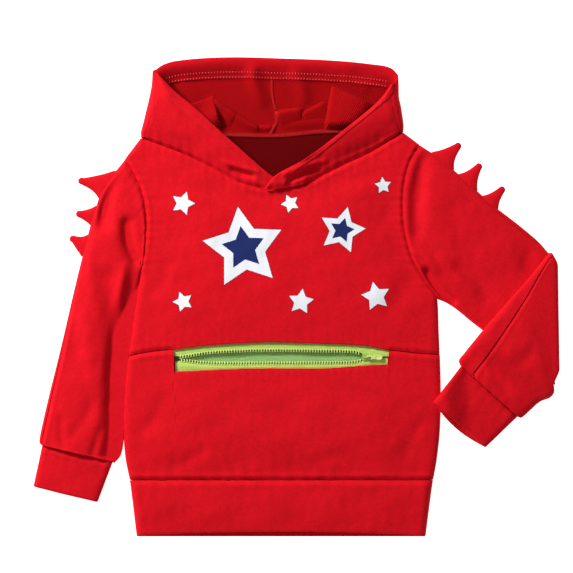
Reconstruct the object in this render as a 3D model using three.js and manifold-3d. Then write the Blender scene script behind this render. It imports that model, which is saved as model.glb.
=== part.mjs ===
// A kids' pullover hoodie, laid flat on its back with the front up: body, hood, two sleeves with a row of
// spikes in the overarm seam, cuffs, hem band and a zipped pocket across the front.
// Millimetres, +Z up. x runs across the body towards the wearer's left, y from the hem to the crown.
import * as THREE from "three";
import { mergeVertices } from "three/addons/utils/BufferGeometryUtils.js";
import Module from "manifold-3d";

const wasm = await Module();
wasm.setup();

// Cloth
const CLOTH = 2.6; // brushed sweatshirt cloth
const BAND = 3.0; // hem and cuff bands, folded double
const LINING = 0.8; // pocket lining
const TAPE = 0.8; // zip tape
const SEAM = 0.3; // gap between two pieces at a seam
const SEAM_SLANT = 2 * SEAM; // the same gap measured along x or y, where the seam runs slanting
const FLAT = 9.0; // two layers of cloth lying on each other
const EDGE = FLAT / 2; // radius of a rounded side
const BAND_FLAT = 2 * BAND + 1.2; // a band lying flat

// Body sides and armholes, from the hem seam up
const BODY_SIDES = [
  { y: 62, right: -172, left: 168.3 },
  { y: 85, right: -176.5, left: 172.5 },
  { y: 118, right: -179, left: 176 },
  { y: 160, right: -178, left: 177 },
  { y: 200, right: -173.8, left: 176 },
  { y: 230, right: -169.5, left: 174.8 },
  { y: 258, right: -165.5, left: 173.8 },
  { y: 270, right: -163.8, left: 171.5 },
  { y: 283, right: -162, left: 161.5 },
  { y: 303, right: -159, left: 149 },
  { y: 316, right: -156.5, left: 143.5 },
  { y: 342, right: -153.7, left: 137 },
  { y: 364, right: -154.3, left: 135.2 },
  { y: 387, right: -158.8, left: 135.8 },
  { y: 407, right: -168, left: 139.3 },
  { y: 422, right: -177.4, left: 144.5 },
  { y: 438, right: -189, left: 153.3 },
];
const UNDERARM = { right: 303, left: 268 };
const SIDE_FADE = 14; // below the underarm, the body's rounded side turns into the armhole's flat edge
// A body point's x and y depend on each other, so they are settled in passes, each by a share
const SETTLING = { passes: 16, share: 0.6 };
// From the body's side to its neck point, reached over a height above the underarm
const NECK_INSET = { right: 29.6, left: 18.7, over: 130 };
const ARMHOLE_END = { right: 1, left: 3 }; // how far below the underarm the sleeve's seam ends
const SHOULDER = {
  right: { tipX: -177.4, tipY: 422, neckX: -159.4, neckY: 445.8 },
  left: { tipX: 153.3, tipY: 438, neckX: 134.6, neckY: 451.9 },
};
const FRONT_NECK = [
  { x: -159.4, y: 445.8 },
  { x: -121.4, y: 431.8 },
  { x: -91.4, y: 418.8 },
  { x: -71.3, y: 407.8 },
  { x: -51.4, y: 396.7 },
  { x: -31.4, y: 390.3 },
  { x: -11.3, y: 388.1 },
  { x: 8.6, y: 390.8 },
  { x: 28.7, y: 395.9 },
  { x: 68.7, y: 415.7 },
  { x: 98.6, y: 429.7 },
  { x: 134.6, y: 451.9 },
];
const BACK_NECK = [
  { x: -159.4, y: 445.8 },
  { x: -100, y: 449.5 },
  { x: -8, y: 447.5 },
  { x: 45, y: 452 },
  { x: 134.6, y: 451.9 },
];
const HEM = { seamY: 62, bottomRight: -164.3, bottomLeft: 160, waistY: 50, frontRise: 5.5 };

// Zip and pocket in the front seam
const FRONT_SEAM = [
  { x: -180, y: 199 },
  { x: -155, y: 204.5 },
  { x: -122.5, y: 207.8 },
  { x: 119, y: 207 },
  { x: 150, y: 204 },
  { x: 180, y: 202 },
];
const ZIP_WINDOW = [
  { x: -122.5, top: 207.8, bottom: 183.3 },
  { x: -93, top: 211.7, bottom: 184.8 },
  { x: -54.9, top: 214.6, bottom: 186.5 },
  { x: -15, top: 216.2, bottom: 187.4 },
  { x: 45.9, top: 214.6, bottom: 187.3 },
  { x: 91.7, top: 212.2, bottom: 190.4 },
  { x: 118.7, top: 207, bottom: 191.7 },
];
const WINDOW_STEPS = 13; // straight steps of the window's edge from one row to the next
const ZIP_MOUTH = [
  { x: -122.5, upper: 200.2, lower: 196.6 },
  { x: -113, upper: 200.6, lower: 195.6 },
  { x: -80, upper: 205.5, lower: 192.6 },
  { x: -22, upper: 207.8, lower: 192.4 },
  { x: 46, upper: 207.2, lower: 192.8 },
  { x: 80, upper: 206.2, lower: 193.6 },
  { x: 91, upper: 202.6, lower: 196.4 },
  { x: 99, upper: 200.3, lower: 198.4 },
  { x: 118.7, upper: 200.1, lower: 198.6 },
];
const TAPE_TUCK = 4; // how far a tape runs under the cloth
const TAPE_Z = 5.3;
const TAPE_ROWS = 26;
const POCKET = { right: -120, left: 117, bottomY: 132, topY: 219, z: CLOTH + SEAM };
const SLIDER = {
  x: 94.5, y: 199.4, length: 12, noseWidth: 8.6, tailWidth: 6.2, neck: 1, round: 1.5, post: 1.6, postIn: 2.6,
};
const SLIDER_Z = { under: 4.1, underTop: 4.9, plate: 6.5, top: 8.1 };
const BAIL = { half: 3.6, leg: 1.2, width: 1.8, height: 3.4, bridge: 1.1, sunk: 0.1 };
const PULL = { pinZ: 9.4, pin: 0.6, hole: 5.8, length: 17, width: 5.4, cheek: 1.1, thick: 1.2 };

// Sleeve sections, from the armhole to the cuff: the overarm edge and the underarm edge, and how far the
// overarm seam lies from the overarm edge, over the upper side (plus) or the lower side (minus)
const RIGHT_SLEEVE = [
  { overX: -177.4, overY: 422.1, underX: -158.8, underY: 301.8, seam: 0 },
  { overX: -200.5, overY: 391.4, underX: -162.8, underY: 285, seam: 0 },
  { overX: -211.7, overY: 362.3, underX: -165.2, underY: 267.1, seam: 0 },
  { overX: -222.9, overY: 320.9, underX: -168.2, underY: 244.7, seam: 1 },
  { overX: -234.5, overY: 273.8, underX: -172.2, underY: 217.8, seam: 2 },
  { overX: -243.2, overY: 235.8, underX: -175.4, underY: 192.1, seam: 3.5 },
  { overX: -251.7, overY: 199.9, underX: -178.4, underY: 165.2, seam: 4.5 },
  { overX: -260.3, overY: 165.5, underX: -179.6, underY: 138.3, seam: 5.5 },
  { overX: -268.8, overY: 129.4, underX: -180.2, underY: 109.2, seam: 6 },
  { overX: -273.3, overY: 106.5, underX: -183.4, underY: 90.5, seam: 5.5 },
  { overX: -271.2, overY: 101.1, underX: -190.4, underY: 81.2, seam: 5 },
];
const LEFT_UPPER_ARM = [
  { overX: 153.3, overY: 438.1, underX: 173.6, underY: 264.9, seam: 0 },
  { overX: 175.8, overY: 422.8, underX: 182.6, underY: 261, seam: 1.5 },
  { overX: 205, overY: 397.6, underX: 193.8, underY: 253.7, seam: 3 },
  { overX: 234.1, overY: 371.3, underX: 209.4, underY: 240.8, seam: 5 },
  { overX: 261, overY: 350.6, underX: 227.4, underY: 226.8, seam: 6 },
  { overX: 284.5, overY: 331, underX: 254.2, underY: 205.5, seam: 5 },
  { overX: 294.5, overY: 317.5, underX: 296.2, underY: 169.7, seam: 0 },
];
const LEFT_FOREARM = [
  { overX: 294.5, overY: 317.5, underX: 296.2, underY: 169.7, seam: -8 },
  { overX: 271.5, overY: 284.8, underX: 296.5, underY: 159.8, seam: -16 },
  { overX: 248.6, overY: 259.3, underX: 288, underY: 149.5, seam: -22 },
  { overX: 225.1, overY: 232.4, underX: 277.8, underY: 140.6, seam: -25 },
  { overX: 204.5, overY: 206, underX: 270.5, underY: 133.8, seam: -25 },
  { overX: 197.1, overY: 196.6, underX: 266.6, underY: 131.6, seam: -25 },
  { overX: 198.4, overY: 190.5, underX: 263.2, underY: 132.9, seam: -25 },
];
const SLEEVE_ROWS = { right: 19, upperArm: 10, forearm: 10 };
const SLEEVE_OPENING = { right: 0.3, left: 0.45 }; // share of a sleeve's length that turns to the armhole
const CREASE_START = 12; // the folds begin this far inside a sleeve's rounded edges
const RING_STOPS = { overarm: 5, flat: 8, underarm: 3, ease: 0.6 }; // points round one panel of a sleeve
const CUFF_GRID = { rows: 5, flats: 9 };
const ELBOW = { radius: EDGE + 1.0, steps: 7 }; // the sleeve is folded over at the elbow
const UPPER_ARM_EDGE = { x: 220.6, y: 227.9, outX: -0.566, outY: -0.824 }; // what the forearm lies over
const FOREARM_FALL = 30;
const CUFF_CLIMB = { from: 210, over: 32, height: FLAT + 0.5 }; // the folded sleeve's cuff lies on the body
const RIGHT_CUFF = {
  overX: -270.2, overY: 100.6, underX: -191.6, underY: 80.4,
  endOverX: -279.8, endOverY: 56, endUnderX: -207.4, endUnderY: 38.4, gape: 0.6,
};
const LEFT_CUFF = {
  overX: 199.2, overY: 189.4, underX: 262.4, underY: 132.3,
  endOverX: 168.8, endOverY: 150.6, endUnderX: 228.2, endUnderY: 99.4, gape: 8,
};

// Spikes: how high each base starts and ends on the overarm edge, and its tip
const SPIKES = {
  right: [
    { fromY: 410, toY: 376.6, tipX: -227, tipY: 397.8 },
    { fromY: 370.6, toY: 347, tipX: -229.6, tipY: 360.5 },
    { fromY: 338, toY: 311.6, tipX: -236.8, tipY: 332.6 },
  ],
  left: [
    { fromY: 430, toY: 408.6, tipX: 197, tipY: 437.4 },
    { fromY: 405.4, toY: 385, tipX: 220.4, tipY: 414.2 },
    { fromY: 381, toY: 365.2, tipX: 246.2, tipY: 388.4 },
  ],
};
const SPIKE = { thick: 3.6, z: 2.7, tipRadius: 2.2, hollow: 0.3, clear: SEAM + 0.1, step: 1 };

// Hood halves: the rim and the side fold of the front wing, from the neck seam up to the corner of the rim
const HOOD_RIGHT = [
  { rimX: 14.6, rimY: 392.9, sideX: -159.4, sideY: 446.2, radius: 4.5, height: 9 },
  { rimX: -9, rimY: 409.6, sideX: -159.2, sideY: 453, radius: 6, height: 12.5 },
  { rimX: -42, rimY: 436, sideX: -156.5, sideY: 463, radius: 8, height: 15.5 },
  { rimX: -70, rimY: 456, sideX: -153.5, sideY: 475, radius: 9, height: 17.5 },
  { rimX: -98, rimY: 479, sideX: -150, sideY: 488.5, radius: 8.5, height: 18 },
  { rimX: -121, rimY: 497.5, sideX: -147, sideY: 503.5, radius: 7, height: 17.5 },
  { rimX: -138.5, rimY: 516, sideX: -146, sideY: 517.5, radius: 4.5, height: 16.5 },
];
const HOOD_LEFT = [
  { rimX: -22, rimY: 389.4, sideX: 134.9, sideY: 452.3, radius: 4.5, height: 9 },
  { rimX: -6.8, rimY: 409.9, sideX: 135.2, sideY: 459, radius: 6, height: 12.5 },
  { rimX: 24.6, rimY: 428.1, sideX: 134, sideY: 468, radius: 8, height: 15.5 },
  { rimX: 49, rimY: 442.6, sideX: 132, sideY: 478, radius: 9, height: 17.5 },
  { rimX: 80, rimY: 465, sideX: 130, sideY: 486, radius: 8.5, height: 18 },
  { rimX: 106, rimY: 486, sideX: 129.5, sideY: 496, radius: 7, height: 17.5 },
  { rimX: 121, rimY: 505, sideX: 129, sideY: 506.5, radius: 4.5, height: 16.5 },
];
const CROWN = [
  { x: -146, y: 517.5 },
  { x: -141, y: 522.5 },
  { x: -133, y: 527.5 },
  { x: -120, y: 531.2 },
  { x: -86.5, y: 534.5 },
  { x: -48.9, y: 535.4 },
  { x: 2.9, y: 533.9 },
  { x: 38.6, y: 532.7 },
  { x: 74.4, y: 530.3 },
  { x: 101.1, y: 527.3 },
  { x: 115.4, y: 525.1 },
  { x: 124, y: 521 },
  { x: 129, y: 514 },
];
const HOOD_SEAM_X = -12; // centre back seam
const HOOD_GRID = { lines: 12, wing: 10, fold: 6, back: 10 }; // steps up, and across each stretch
const HOOD_SETTLES = 1 / 3; // share of the height over which the back layer lifts off the table
const NECK_RISE = 12; // the same, from the back-neck seam up
const CORNER_FADE = 25; // a folded-up corner falls off over this length
const CROWN_RISE = { height: 8, reach: 30 }; // the rim stands up a little along the crown
const WING_OVERLAP = { from: 18, reach: 26, lift: CLOTH + SEAM + 1.2 }; // left wing over right wing

// How a wall is thinned where it would fold over itself: in so many passes, by this step, wherever the
// cosine between its two sides is under the least. A sleeve's acute corner loses a share of its own.
const THINNING = { passes: 6, step: 0.85, least: 0.3, smallest: 0.05, corner: 0.6 };

// Largest folds: a trough or ridge along a line, with its depth and half width
const BODY_FOLDS = [
  { fromX: -160, fromY: 115, toX: -134, toY: 152, depth: -1.0, width: 13 },
  { fromX: 120, fromY: 250, toX: 150, toY: 292, depth: -1.2, width: 16 },
];
const RIGHT_SLEEVE_FOLDS = [
  { fromX: -172, fromY: 352, toX: -160, toY: 305, depth: -3.2, width: 10 },
  { fromX: -196, fromY: 384, toX: -197, toY: 340, depth: -2.0, width: 13 },
  { fromX: -198, fromY: 290, toX: -186, toY: 100, depth: -3.0, width: 22 },
];
const LEFT_SLEEVE_FOLDS = [
  { fromX: 158, fromY: 412, toX: 148, toY: 350, depth: -2.2, width: 13 },
  { fromX: 160, fromY: 292, toX: 192, toY: 262, depth: -3.3, width: 11 },
  { fromX: 176, fromY: 318, toX: 222, toY: 272, depth: -1.6, width: 16 },
  { fromX: 286, fromY: 300, toX: 262, toY: 262, depth: -1.4, width: 14 },
];
const HOOD_FOLDS = [
  { fromX: -80, fromY: 489, toX: -32, toY: 457, depth: 5.5, width: 9 },
  { fromX: -32, fromY: 457, toX: -14, toY: 452, depth: 4, width: 8 },
  { fromX: 4, fromY: 462, toX: 40, toY: 462, depth: 5.5, width: 15 },
];
// Folded-up corners inside the hood: a corner, the ends of its two edges, its height and how far it reaches
const HOOD_CORNERS = [
  { x: -78.4, y: 491, sideX: -70, sideY: 452, backX: -108, backY: 481, height: 8, edge: 7, reach: 46 },
  { x: 56, y: 501, sideX: 45.4, sideY: 440, backX: 104, backY: 480, height: 9, edge: 7, reach: 62 },
];

const RED = new THREE.MeshStandardMaterial({ color: 0xd8141c, roughness: 0.9, metalness: 0 });
const DARK_RED = new THREE.MeshStandardMaterial({ color: 0xb01018, roughness: 0.95, metalness: 0 });
const LIME = new THREE.MeshStandardMaterial({ color: 0x9ccf3c, roughness: 0.8, metalness: 0 });
const GREEN = new THREE.MeshStandardMaterial({ color: 0x4f8a42, roughness: 0.85, metalness: 0 });
const LIME_ENAMEL = new THREE.MeshStandardMaterial({ color: 0xc3e36a, roughness: 0.35, metalness: 0.2 });

const mix = (a, b, t) => a + (b - a) * t;
const clamp = (t) => Math.min(1, Math.max(0, t));
const smooth = (t) => clamp(t) ** 2 * (3 - 2 * clamp(t));
const radians = THREE.MathUtils.degToRad;

// The value of one column of a table, on a smooth curve through its rows
function read(rows, by, column, at) {
  let i = 0;
  while (i < rows.length - 2 && at > rows[i + 1][by]) i += 1;
  const slope = (k) => {
    const a = rows[Math.max(k - 1, 0)];
    const b = rows[Math.min(k + 1, rows.length - 1)];
    return (b[column] - a[column]) / (b[by] - a[by]);
  };
  const span = rows[i + 1][by] - rows[i][by];
  const t = clamp((at - rows[i][by]) / span);
  const h = smooth(t);
  const start = t * (1 - t) ** 2 * span * slope(i);
  const end = t * t * (t - 1) * span * slope(i + 1);
  return mix(rows[i][column], rows[i + 1][column], h) + start + end;
}

// A section of a table whose rows are evenly spaced from 0 to 1
function section(rows, t) {
  const numbered = rows.map((row, i) => ({ ...row, step: i / (rows.length - 1) }));
  const made = {};
  for (const column of Object.keys(rows[0])) made[column] = read(numbered, "step", column, t);
  return made;
}

// How far the folds of a list raise or lower the cloth at a point
function folded(folds, x, y) {
  let height = 0;
  for (const fold of folds) {
    const dx = fold.toX - fold.fromX;
    const dy = fold.toY - fold.fromY;
    const along = clamp(((x - fold.fromX) * dx + (y - fold.fromY) * dy) / (dx * dx + dy * dy));
    const away = Math.hypot(x - fold.fromX - along * dx, y - fold.fromY - along * dy);
    height += fold.depth * Math.exp(-((away / fold.width) ** 2) * 2);
  }
  return height;
}

// Which way a line of points runs at one of them; at an end, the curve through the last three tells it
function heading(point, k, last) {
  if (last === Infinity || (k > 0 && k < last)) return point(k + 1).clone().sub(point(k - 1));
  const step = k === 0 ? 1 : -1;
  const near = point(k + step).clone().sub(point(k));
  const far = point(k + 2 * step).clone().sub(point(k));
  const reach = near.length() + far.distanceTo(near);
  const share = near.length() / reach;
  return near.divideScalar(share).addScaledVector(far, -share).multiplyScalar(step);
}

// Turns a normal into the upright plane along a line of points, so the wall ends square to its seam
function square(normal, line) {
  const chord = line[Math.floor(line.length / 2)].clone().sub(line[0]).setZ(0).normalize();
  const through = new THREE.Vector3(chord.y, -chord.x, 0);
  normal.addScaledVector(through, -normal.dot(through));
}

// The inner points of a wall. Where the cloth turns tighter than its thickness, the wall is thinned until no
// cell of its inner side is folded over.
function innerSide(grid, normals, column, round) {
  const share = grid.map((row) => row.map(() => 1));
  const at = (i, j) => grid[i][j].clone().addScaledVector(normals[i][j], -share[i][j]);
  const corner = (point, [a, b, c]) => point(...b).sub(point(...a)).cross(point(...c).sub(point(...a)));
  for (let pass = 0; pass < THINNING.passes; pass += 1) {
    const folded = new Set();
    for (let i = 0; i < grid.length - 1; i += 1) {
      for (let j = 0; j < grid[0].length - (round ? 0 : 1); j += 1) {
        const cell = [[i, j], [i, column(j + 1)], [i + 1, column(j + 1)], [i + 1, j]];
        const turned = cell.some((_, k) => {
          const three = [cell[k], cell[(k + 1) % 4], cell[(k + 3) % 4]];
          const outer = corner((m, n) => grid[m][n].clone(), three);
          const inner = corner(at, three);
          const size = Math.max(inner.length(), outer.length() * THINNING.smallest);
          return outer.dot(inner) < THINNING.least * outer.length() * size;
        });
        if (turned) cell.forEach((place) => folded.add(place.join()));
      }
    }
    if (folded.size === 0) break;
    for (const place of folded) {
      const [i, j] = place.split(",").map(Number);
      share[i][j] *= THINNING.step;
    }
  }
  return grid.map((row, i) => row.map((_, j) => at(i, j)));
}

// A closed wall of cloth from the grid of its outer points. The grid may close on itself across, have
// its rows' ends rounded off towards a seam at the side, or end at a seam that runs along y. The share
// of its thickness that the wall loses at a place comes from thinner.
function wall(grid, thickness, outwards, { round = false, rounded = false, alongY = false, thinner } = {}) {
  const rows = grid.length;
  const columns = grid[0].length;
  const column = (j) => (round ? (j + columns) % columns : j);
  const normals = [];
  for (let i = 0; i < rows; i += 1) {
    normals.push([]);
    for (let j = 0; j < columns; j += 1) {
      const across = heading((k) => grid[i][column(k)], j, round ? Infinity : columns - 1);
      const along = heading((k) => grid[k][j], i, rows - 1);
      const normal = across.cross(along);
      if (!rounded && (i === 0 || i === rows - 1)) square(normal, grid[i]);
      if (alongY && j === columns - 1) normal.x = 0;
      const here = thickness * (1 - (thinner ? thinner(i, j / (columns - 1)) : 0));
      normals[i].push(normal.normalize().multiplyScalar(outwards * here));
    }
  }
  const points = grid.flat().map((point) => point.toArray());
  const inner = innerSide(grid, normals, column, round).flat().map((point) => point.toArray());
  const layer = points.length;
  const at = (i, j) => i * columns + column(j);
  const faces = [];
  const quad = (a, b, c, d) => faces.push(a, b, c, a, c, d);
  const lastColumn = round ? columns : columns - 1;
  for (let i = 0; i < rows - 1; i += 1) {
    for (let j = 0; j < lastColumn; j += 1) {
      quad(at(i, j), at(i, j + 1), at(i + 1, j + 1), at(i + 1, j));
      quad(layer + at(i, j), layer + at(i + 1, j), layer + at(i + 1, j + 1), layer + at(i, j + 1));
    }
    if (!round) {
      quad(at(i, 0), at(i + 1, 0), layer + at(i + 1, 0), layer + at(i, 0));
      const end = columns - 1;
      quad(at(i + 1, end), at(i, end), layer + at(i, end), layer + at(i + 1, end));
    }
  }
  for (let j = 0; j < lastColumn; j += 1) {
    const last = rows - 1;
    quad(at(0, j + 1), at(0, j), layer + at(0, j), layer + at(0, j + 1));
    quad(at(last, j), at(last, j + 1), layer + at(last, j + 1), layer + at(last, j));
  }
  return facingOut(new Float32Array([...points, ...inner].flat()), faces);
}

// A geometry whose faces point out, whichever way its grid ran
function facingOut(positions, faces) {
  const [a, b, c] = [new THREE.Vector3(), new THREE.Vector3(), new THREE.Vector3()];
  let volume = 0;
  for (let k = 0; k < faces.length; k += 3) {
    a.fromArray(positions, faces[k] * 3);
    b.fromArray(positions, faces[k + 1] * 3);
    c.fromArray(positions, faces[k + 2] * 3);
    volume += a.dot(b.cross(c));
  }
  if (volume < 0) faces.reverse();
  const geometry = new THREE.BufferGeometry();
  geometry.setAttribute("position", new THREE.BufferAttribute(positions, 3));
  geometry.setIndex(faces);
  return geometry;
}

function toSolid(geometry) {
  const bare = geometry.clone();
  bare.deleteAttribute("normal");
  bare.deleteAttribute("uv");
  const merged = mergeVertices(bare, 1e-4);
  return new wasm.Manifold(new wasm.Mesh({
    numProp: 3,
    vertProperties: new Float32Array(merged.attributes.position.array),
    triVerts: new Uint32Array(merged.index.array),
  }));
}

function toGeometry(solid) {
  const mesh = solid.getMesh();
  const positions = new Float32Array(mesh.numVert * 3);
  for (let i = 0; i < mesh.numVert; i += 1) {
    for (let k = 0; k < 3; k += 1) positions[i * 3 + k] = mesh.vertProperties[i * mesh.numProp + k];
  }
  return facingOut(positions, Array.from(mesh.triVerts));
}

// Places across a strip: a rounded stretch at each end, given by its angle, and a flat between them
function stops(flats, arcs = 3) {
  const list = [];
  for (let k = 0; k < arcs; k += 1) list.push({ end: 0, angle: (90 * k) / arcs });
  for (let k = 0; k <= flats; k += 1) list.push({ share: k / flats, angle: 90 });
  for (let k = arcs - 1; k >= 0; k -= 1) list.push({ end: 1, angle: (90 * k) / arcs });
  return list;
}

function place(stop, low, high, lowRadius, highRadius = lowRadius) {
  const turned = 1 - Math.cos(radians(stop.angle));
  if (stop.end === 0) return low + lowRadius * turned;
  if (stop.end === 1) return high - highRadius * turned;
  return mix(low + lowRadius, high - highRadius, stop.share);
}

function shoulderLine(x) {
  const side = x < 0 ? SHOULDER.right : SHOULDER.left;
  const t = (x - side.neckX) / (side.tipX - side.neckX);
  return mix(side.neckY, side.tipY, t);
}
const onShoulder = (x) => x < SHOULDER.right.neckX || x > SHOULDER.left.neckX;
const frontTop = (x) => (onShoulder(x) ? shoulderLine(x) : read(FRONT_NECK, "x", "y", x));
const backTop = (x) => (onShoulder(x) ? shoulderLine(x) : read(BACK_NECK, "x", "y", x));

// How far a side of the body is rounded off at a height: fully below the armhole, not at all beside it
function sideRounding(x, y) {
  const underarm = x < 0 ? UNDERARM.right : UNDERARM.left;
  return 1 - smooth((y - underarm) / SIDE_FADE + 1);
}

// One layer of the body between a lower and an upper edge, as a grid of outer points
function bodyGrid({ bottom, top, front, flats, rows, shoulders }) {
  const grid = [];
  const columns = stops(flats);
  const lines = stops(rows).filter((line) => line.end !== 0).filter((line) => shoulders || line.end !== 1);
  const half = EDGE - SEAM;
  for (const line of lines) {
    grid.push(columns.map((stop) => {
      let x = 0;
      let y = 0;
      for (let pass = 0; pass < SETTLING.passes; pass += 1) {
        const radius = shoulders ? EDGE : 0;
        y = line.end === 1 ? place(line, 0, top(x), radius) : mix(bottom(x), top(x) - radius, line.share);
        const rise = smooth((y - UNDERARM.right) / NECK_INSET.over);
        const low = read(BODY_SIDES, "y", "right", y);
        const high = read(BODY_SIDES, "y", "left", y);
        const lowInset = mix(EDGE, NECK_INSET.right, rise);
        const highInset = mix(EDGE, NECK_INSET.left, rise);
        x = mix(x, place(stop, low, high, lowInset, highInset), SETTLING.share);
      }
      const side = half * (1 - Math.sin(radians(stop.angle))) * sideRounding(x, y);
      const shoulder = onShoulder(x) ? half * (1 - Math.sin(radians(line.angle))) : 0;
      const drop = Math.max(side, shoulder);
      const z = front ? FLAT - drop + folded(BODY_FOLDS, x, y) : drop;
      return new THREE.Vector3(x, y, z);
    }));
  }
  return grid;
}

// The y of a line of points at an x, or the x at a y
function onLine(line, by, column, at) {
  const rising = line[0][by] < line.at(-1)[by];
  const points = rising ? line : [...line].reverse();
  const k = Math.min(Math.max(1, points.findIndex((point) => point[by] >= at)), points.length - 1);
  const t = clamp((at - points[k - 1][by]) / (points[k][by] - points[k - 1][by]));
  return mix(points[k - 1][column], points[k][column], t);
}

// The zip's window in the front, as a solid to cut away
function zipWindow() {
  const shape = new THREE.Shape();
  const upper = ZIP_WINDOW.map((row) => new THREE.Vector2(row.x, row.top));
  const lower = ZIP_WINDOW.map((row) => new THREE.Vector2(row.x, row.bottom)).reverse();
  shape.moveTo(upper[0].x, upper[0].y);
  shape.splineThru(upper.slice(1));
  shape.lineTo(lower[0].x, lower[0].y);
  shape.splineThru(lower.slice(1));
  shape.closePath();
  const cut = { depth: 3 * FLAT, bevelEnabled: false, curveSegments: WINDOW_STEPS };
  return new THREE.ExtrudeGeometry(shape, cut);
}

function withWindow(grid) {
  const panel = toSolid(wall(grid, CLOTH, 1, { rounded: true }));
  return toGeometry(panel.subtract(toSolid(zipWindow())));
}

// A ring around a flattened tube: distance from the overarm edge, plus over the upper side and minus under.
// It also tells how far inside the flat stretch the point lies.
function ringPoint(q, width, radius) {
  const arc = (Math.PI * radius) / 2;
  const flat = width - 2 * radius;
  const way = Math.abs(q);
  const sign = q < 0 ? -1 : 1;
  if (way <= arc) {
    const angle = way / radius;
    return { across: radius * (1 - Math.cos(angle)), height: sign * radius * Math.sin(angle), inside: 0 };
  }
  if (way <= arc + flat) {
    const inside = Math.min(way - arc, arc + flat - way);
    return { across: radius + way - arc, height: sign * radius, inside };
  }
  const angle = Math.max(0, (2 * arc + flat - way) / radius);
  const across = width - radius * (1 - Math.cos(angle));
  return { across, height: sign * radius * Math.sin(angle), inside: 0 };
}

// Places round one panel of a sleeve, from the overarm seam to the underarm seam
function ringStops(seam, width, radius, side) {
  const arc = (Math.PI * radius) / 2;
  const flat = width - 2 * radius;
  const start = side * seam + 1.5 * SEAM;
  const turn = Math.max(arc, start + arc / 2);
  const end = 2 * arc + flat - SEAM;
  const { overarm: turns, flat: flats, underarm: ends, ease } = RING_STOPS;
  const list = [start];
  for (let k = 1; k < turns; k += 1) list.push(mix(Math.max(start, -arc), turn, k / turns));
  for (let k = 0; k <= flats; k += 1) {
    const even = k / flats;
    list.push(mix(turn, arc + flat, mix(even, smooth(even), ease)));
  }
  for (let k = 1; k <= ends; k += 1) list.push(mix(arc + flat, end, k / ends));
  return list.map((q) => side * q);
}

// The armhole, a seam's gap beside the body's edge, from the shoulder tip down to the underarm, where it
// turns sharply and the gap is wider
function armhole(side, bodyEdge, t) {
  const y = mix(SHOULDER[side].tipY, UNDERARM[side] - ARMHOLE_END[side], t);
  const gap = SEAM_SLANT * (1 + 2 * t ** 6);
  return { x: onLine(bodyEdge, "y", "x", y) + (side === "right" ? -gap : gap), y };
}

// What raises a piece off the table: the upper arm under the forearm, and the body under the cuff
function raised(x, y) {
  const beyond = (x - UPPER_ARM_EDGE.x) * UPPER_ARM_EDGE.outX + (y - UPPER_ARM_EDGE.y) * UPPER_ARM_EDGE.outY;
  const overArm = 2 * ELBOW.radius * smooth(1 - beyond / FOREARM_FALL);
  return overArm + CUFF_CLIMB.height * smooth((CUFF_CLIMB.from - x) / CUFF_CLIMB.over);
}

// A point of a sleeve: its section, its place round the ring, how far the elbow's fold has turned it
function sleevePoint({ cut, q, side, bodyEdge, open, turn, folds }) {
  const width = Math.hypot(cut.underX - cut.overX, cut.underY - cut.overY);
  const ring = ringPoint(q, width, EDGE);
  const t = ring.across / width;
  let x = mix(cut.overX, cut.underX, t);
  let y = mix(cut.overY, cut.underY, t);
  if (open > 0) {
    const seam = armhole(side, bodyEdge, t);
    const [start] = side === "right" ? RIGHT_SLEEVE : LEFT_UPPER_ARM;
    x += open * (seam.x - mix(start.overX, start.underX, t));
    y += open * (seam.y - mix(start.overY, start.underY, t));
  }
  const upward = (turn < Math.PI / 2 ? q : -q) > 0;
  const crease = upward ? folded(folds, x, y) * smooth(ring.inside / CREASE_START) : 0;
  if (turn === 0) return new THREE.Vector3(x, y, EDGE + ring.height + crease);
  const bend = ELBOW.radius - ring.height;
  const lift = turn < Math.PI ? 2 * ELBOW.radius : raised(x, y);
  const z = turn < Math.PI ? EDGE + ELBOW.radius - bend * Math.cos(turn) : EDGE + lift - ring.height + crease;
  return new THREE.Vector3(x + bend * Math.sin(turn), y, z);
}

// One panel of a sleeve as a grid: sections from the armhole to the cuff, through the elbow's fold if any
function sleeveGrid(side, panel, bodyEdge) {
  const grid = [];
  const addRow = (cut, open, turn, folds) => {
    const width = Math.hypot(cut.underX - cut.overX, cut.underY - cut.overY);
    const places = ringStops(cut.seam, width, EDGE, panel);
    grid.push(places.map((q) => sleevePoint({ cut, q, side, bodyEdge, open, turn, folds })));
  };
  if (side === "right") {
    for (let i = 0; i <= SLEEVE_ROWS.right; i += 1) {
      const t = i / SLEEVE_ROWS.right;
      addRow(section(RIGHT_SLEEVE, t), (1 - smooth(t / SLEEVE_OPENING.right)) ** 2, 0, RIGHT_SLEEVE_FOLDS);
    }
    return grid;
  }
  for (let i = 0; i <= SLEEVE_ROWS.upperArm; i += 1) {
    const t = i / SLEEVE_ROWS.upperArm;
    addRow(section(LEFT_UPPER_ARM, t), (1 - smooth(t / SLEEVE_OPENING.left)) ** 2, 0, LEFT_SLEEVE_FOLDS);
  }
  const fold = LEFT_UPPER_ARM.at(-1);
  for (let i = 1; i < ELBOW.steps; i += 1) {
    const t = i / ELBOW.steps;
    addRow({ ...fold, seam: mix(fold.seam, LEFT_FOREARM[0].seam, t) }, 0, Math.PI * t, []);
  }
  for (let i = 0; i <= SLEEVE_ROWS.forearm; i += 1) {
    addRow(section(LEFT_FOREARM, i / SLEEVE_ROWS.forearm), 0, Math.PI, []);
  }
  return grid;
}

// What a sleeve's wall loses in the acute corner of its panels: at the underarm, or where the elbow's
// fold ends
function acuteCorner(side) {
  const row = side === "right" ? 0 : SLEEVE_ROWS.upperArm + ELBOW.steps + 1;
  return (i, t) => THINNING.corner * smooth((t - 0.6) / 0.15) * smooth(2 - Math.abs(i - row) / 2);
}

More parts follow.
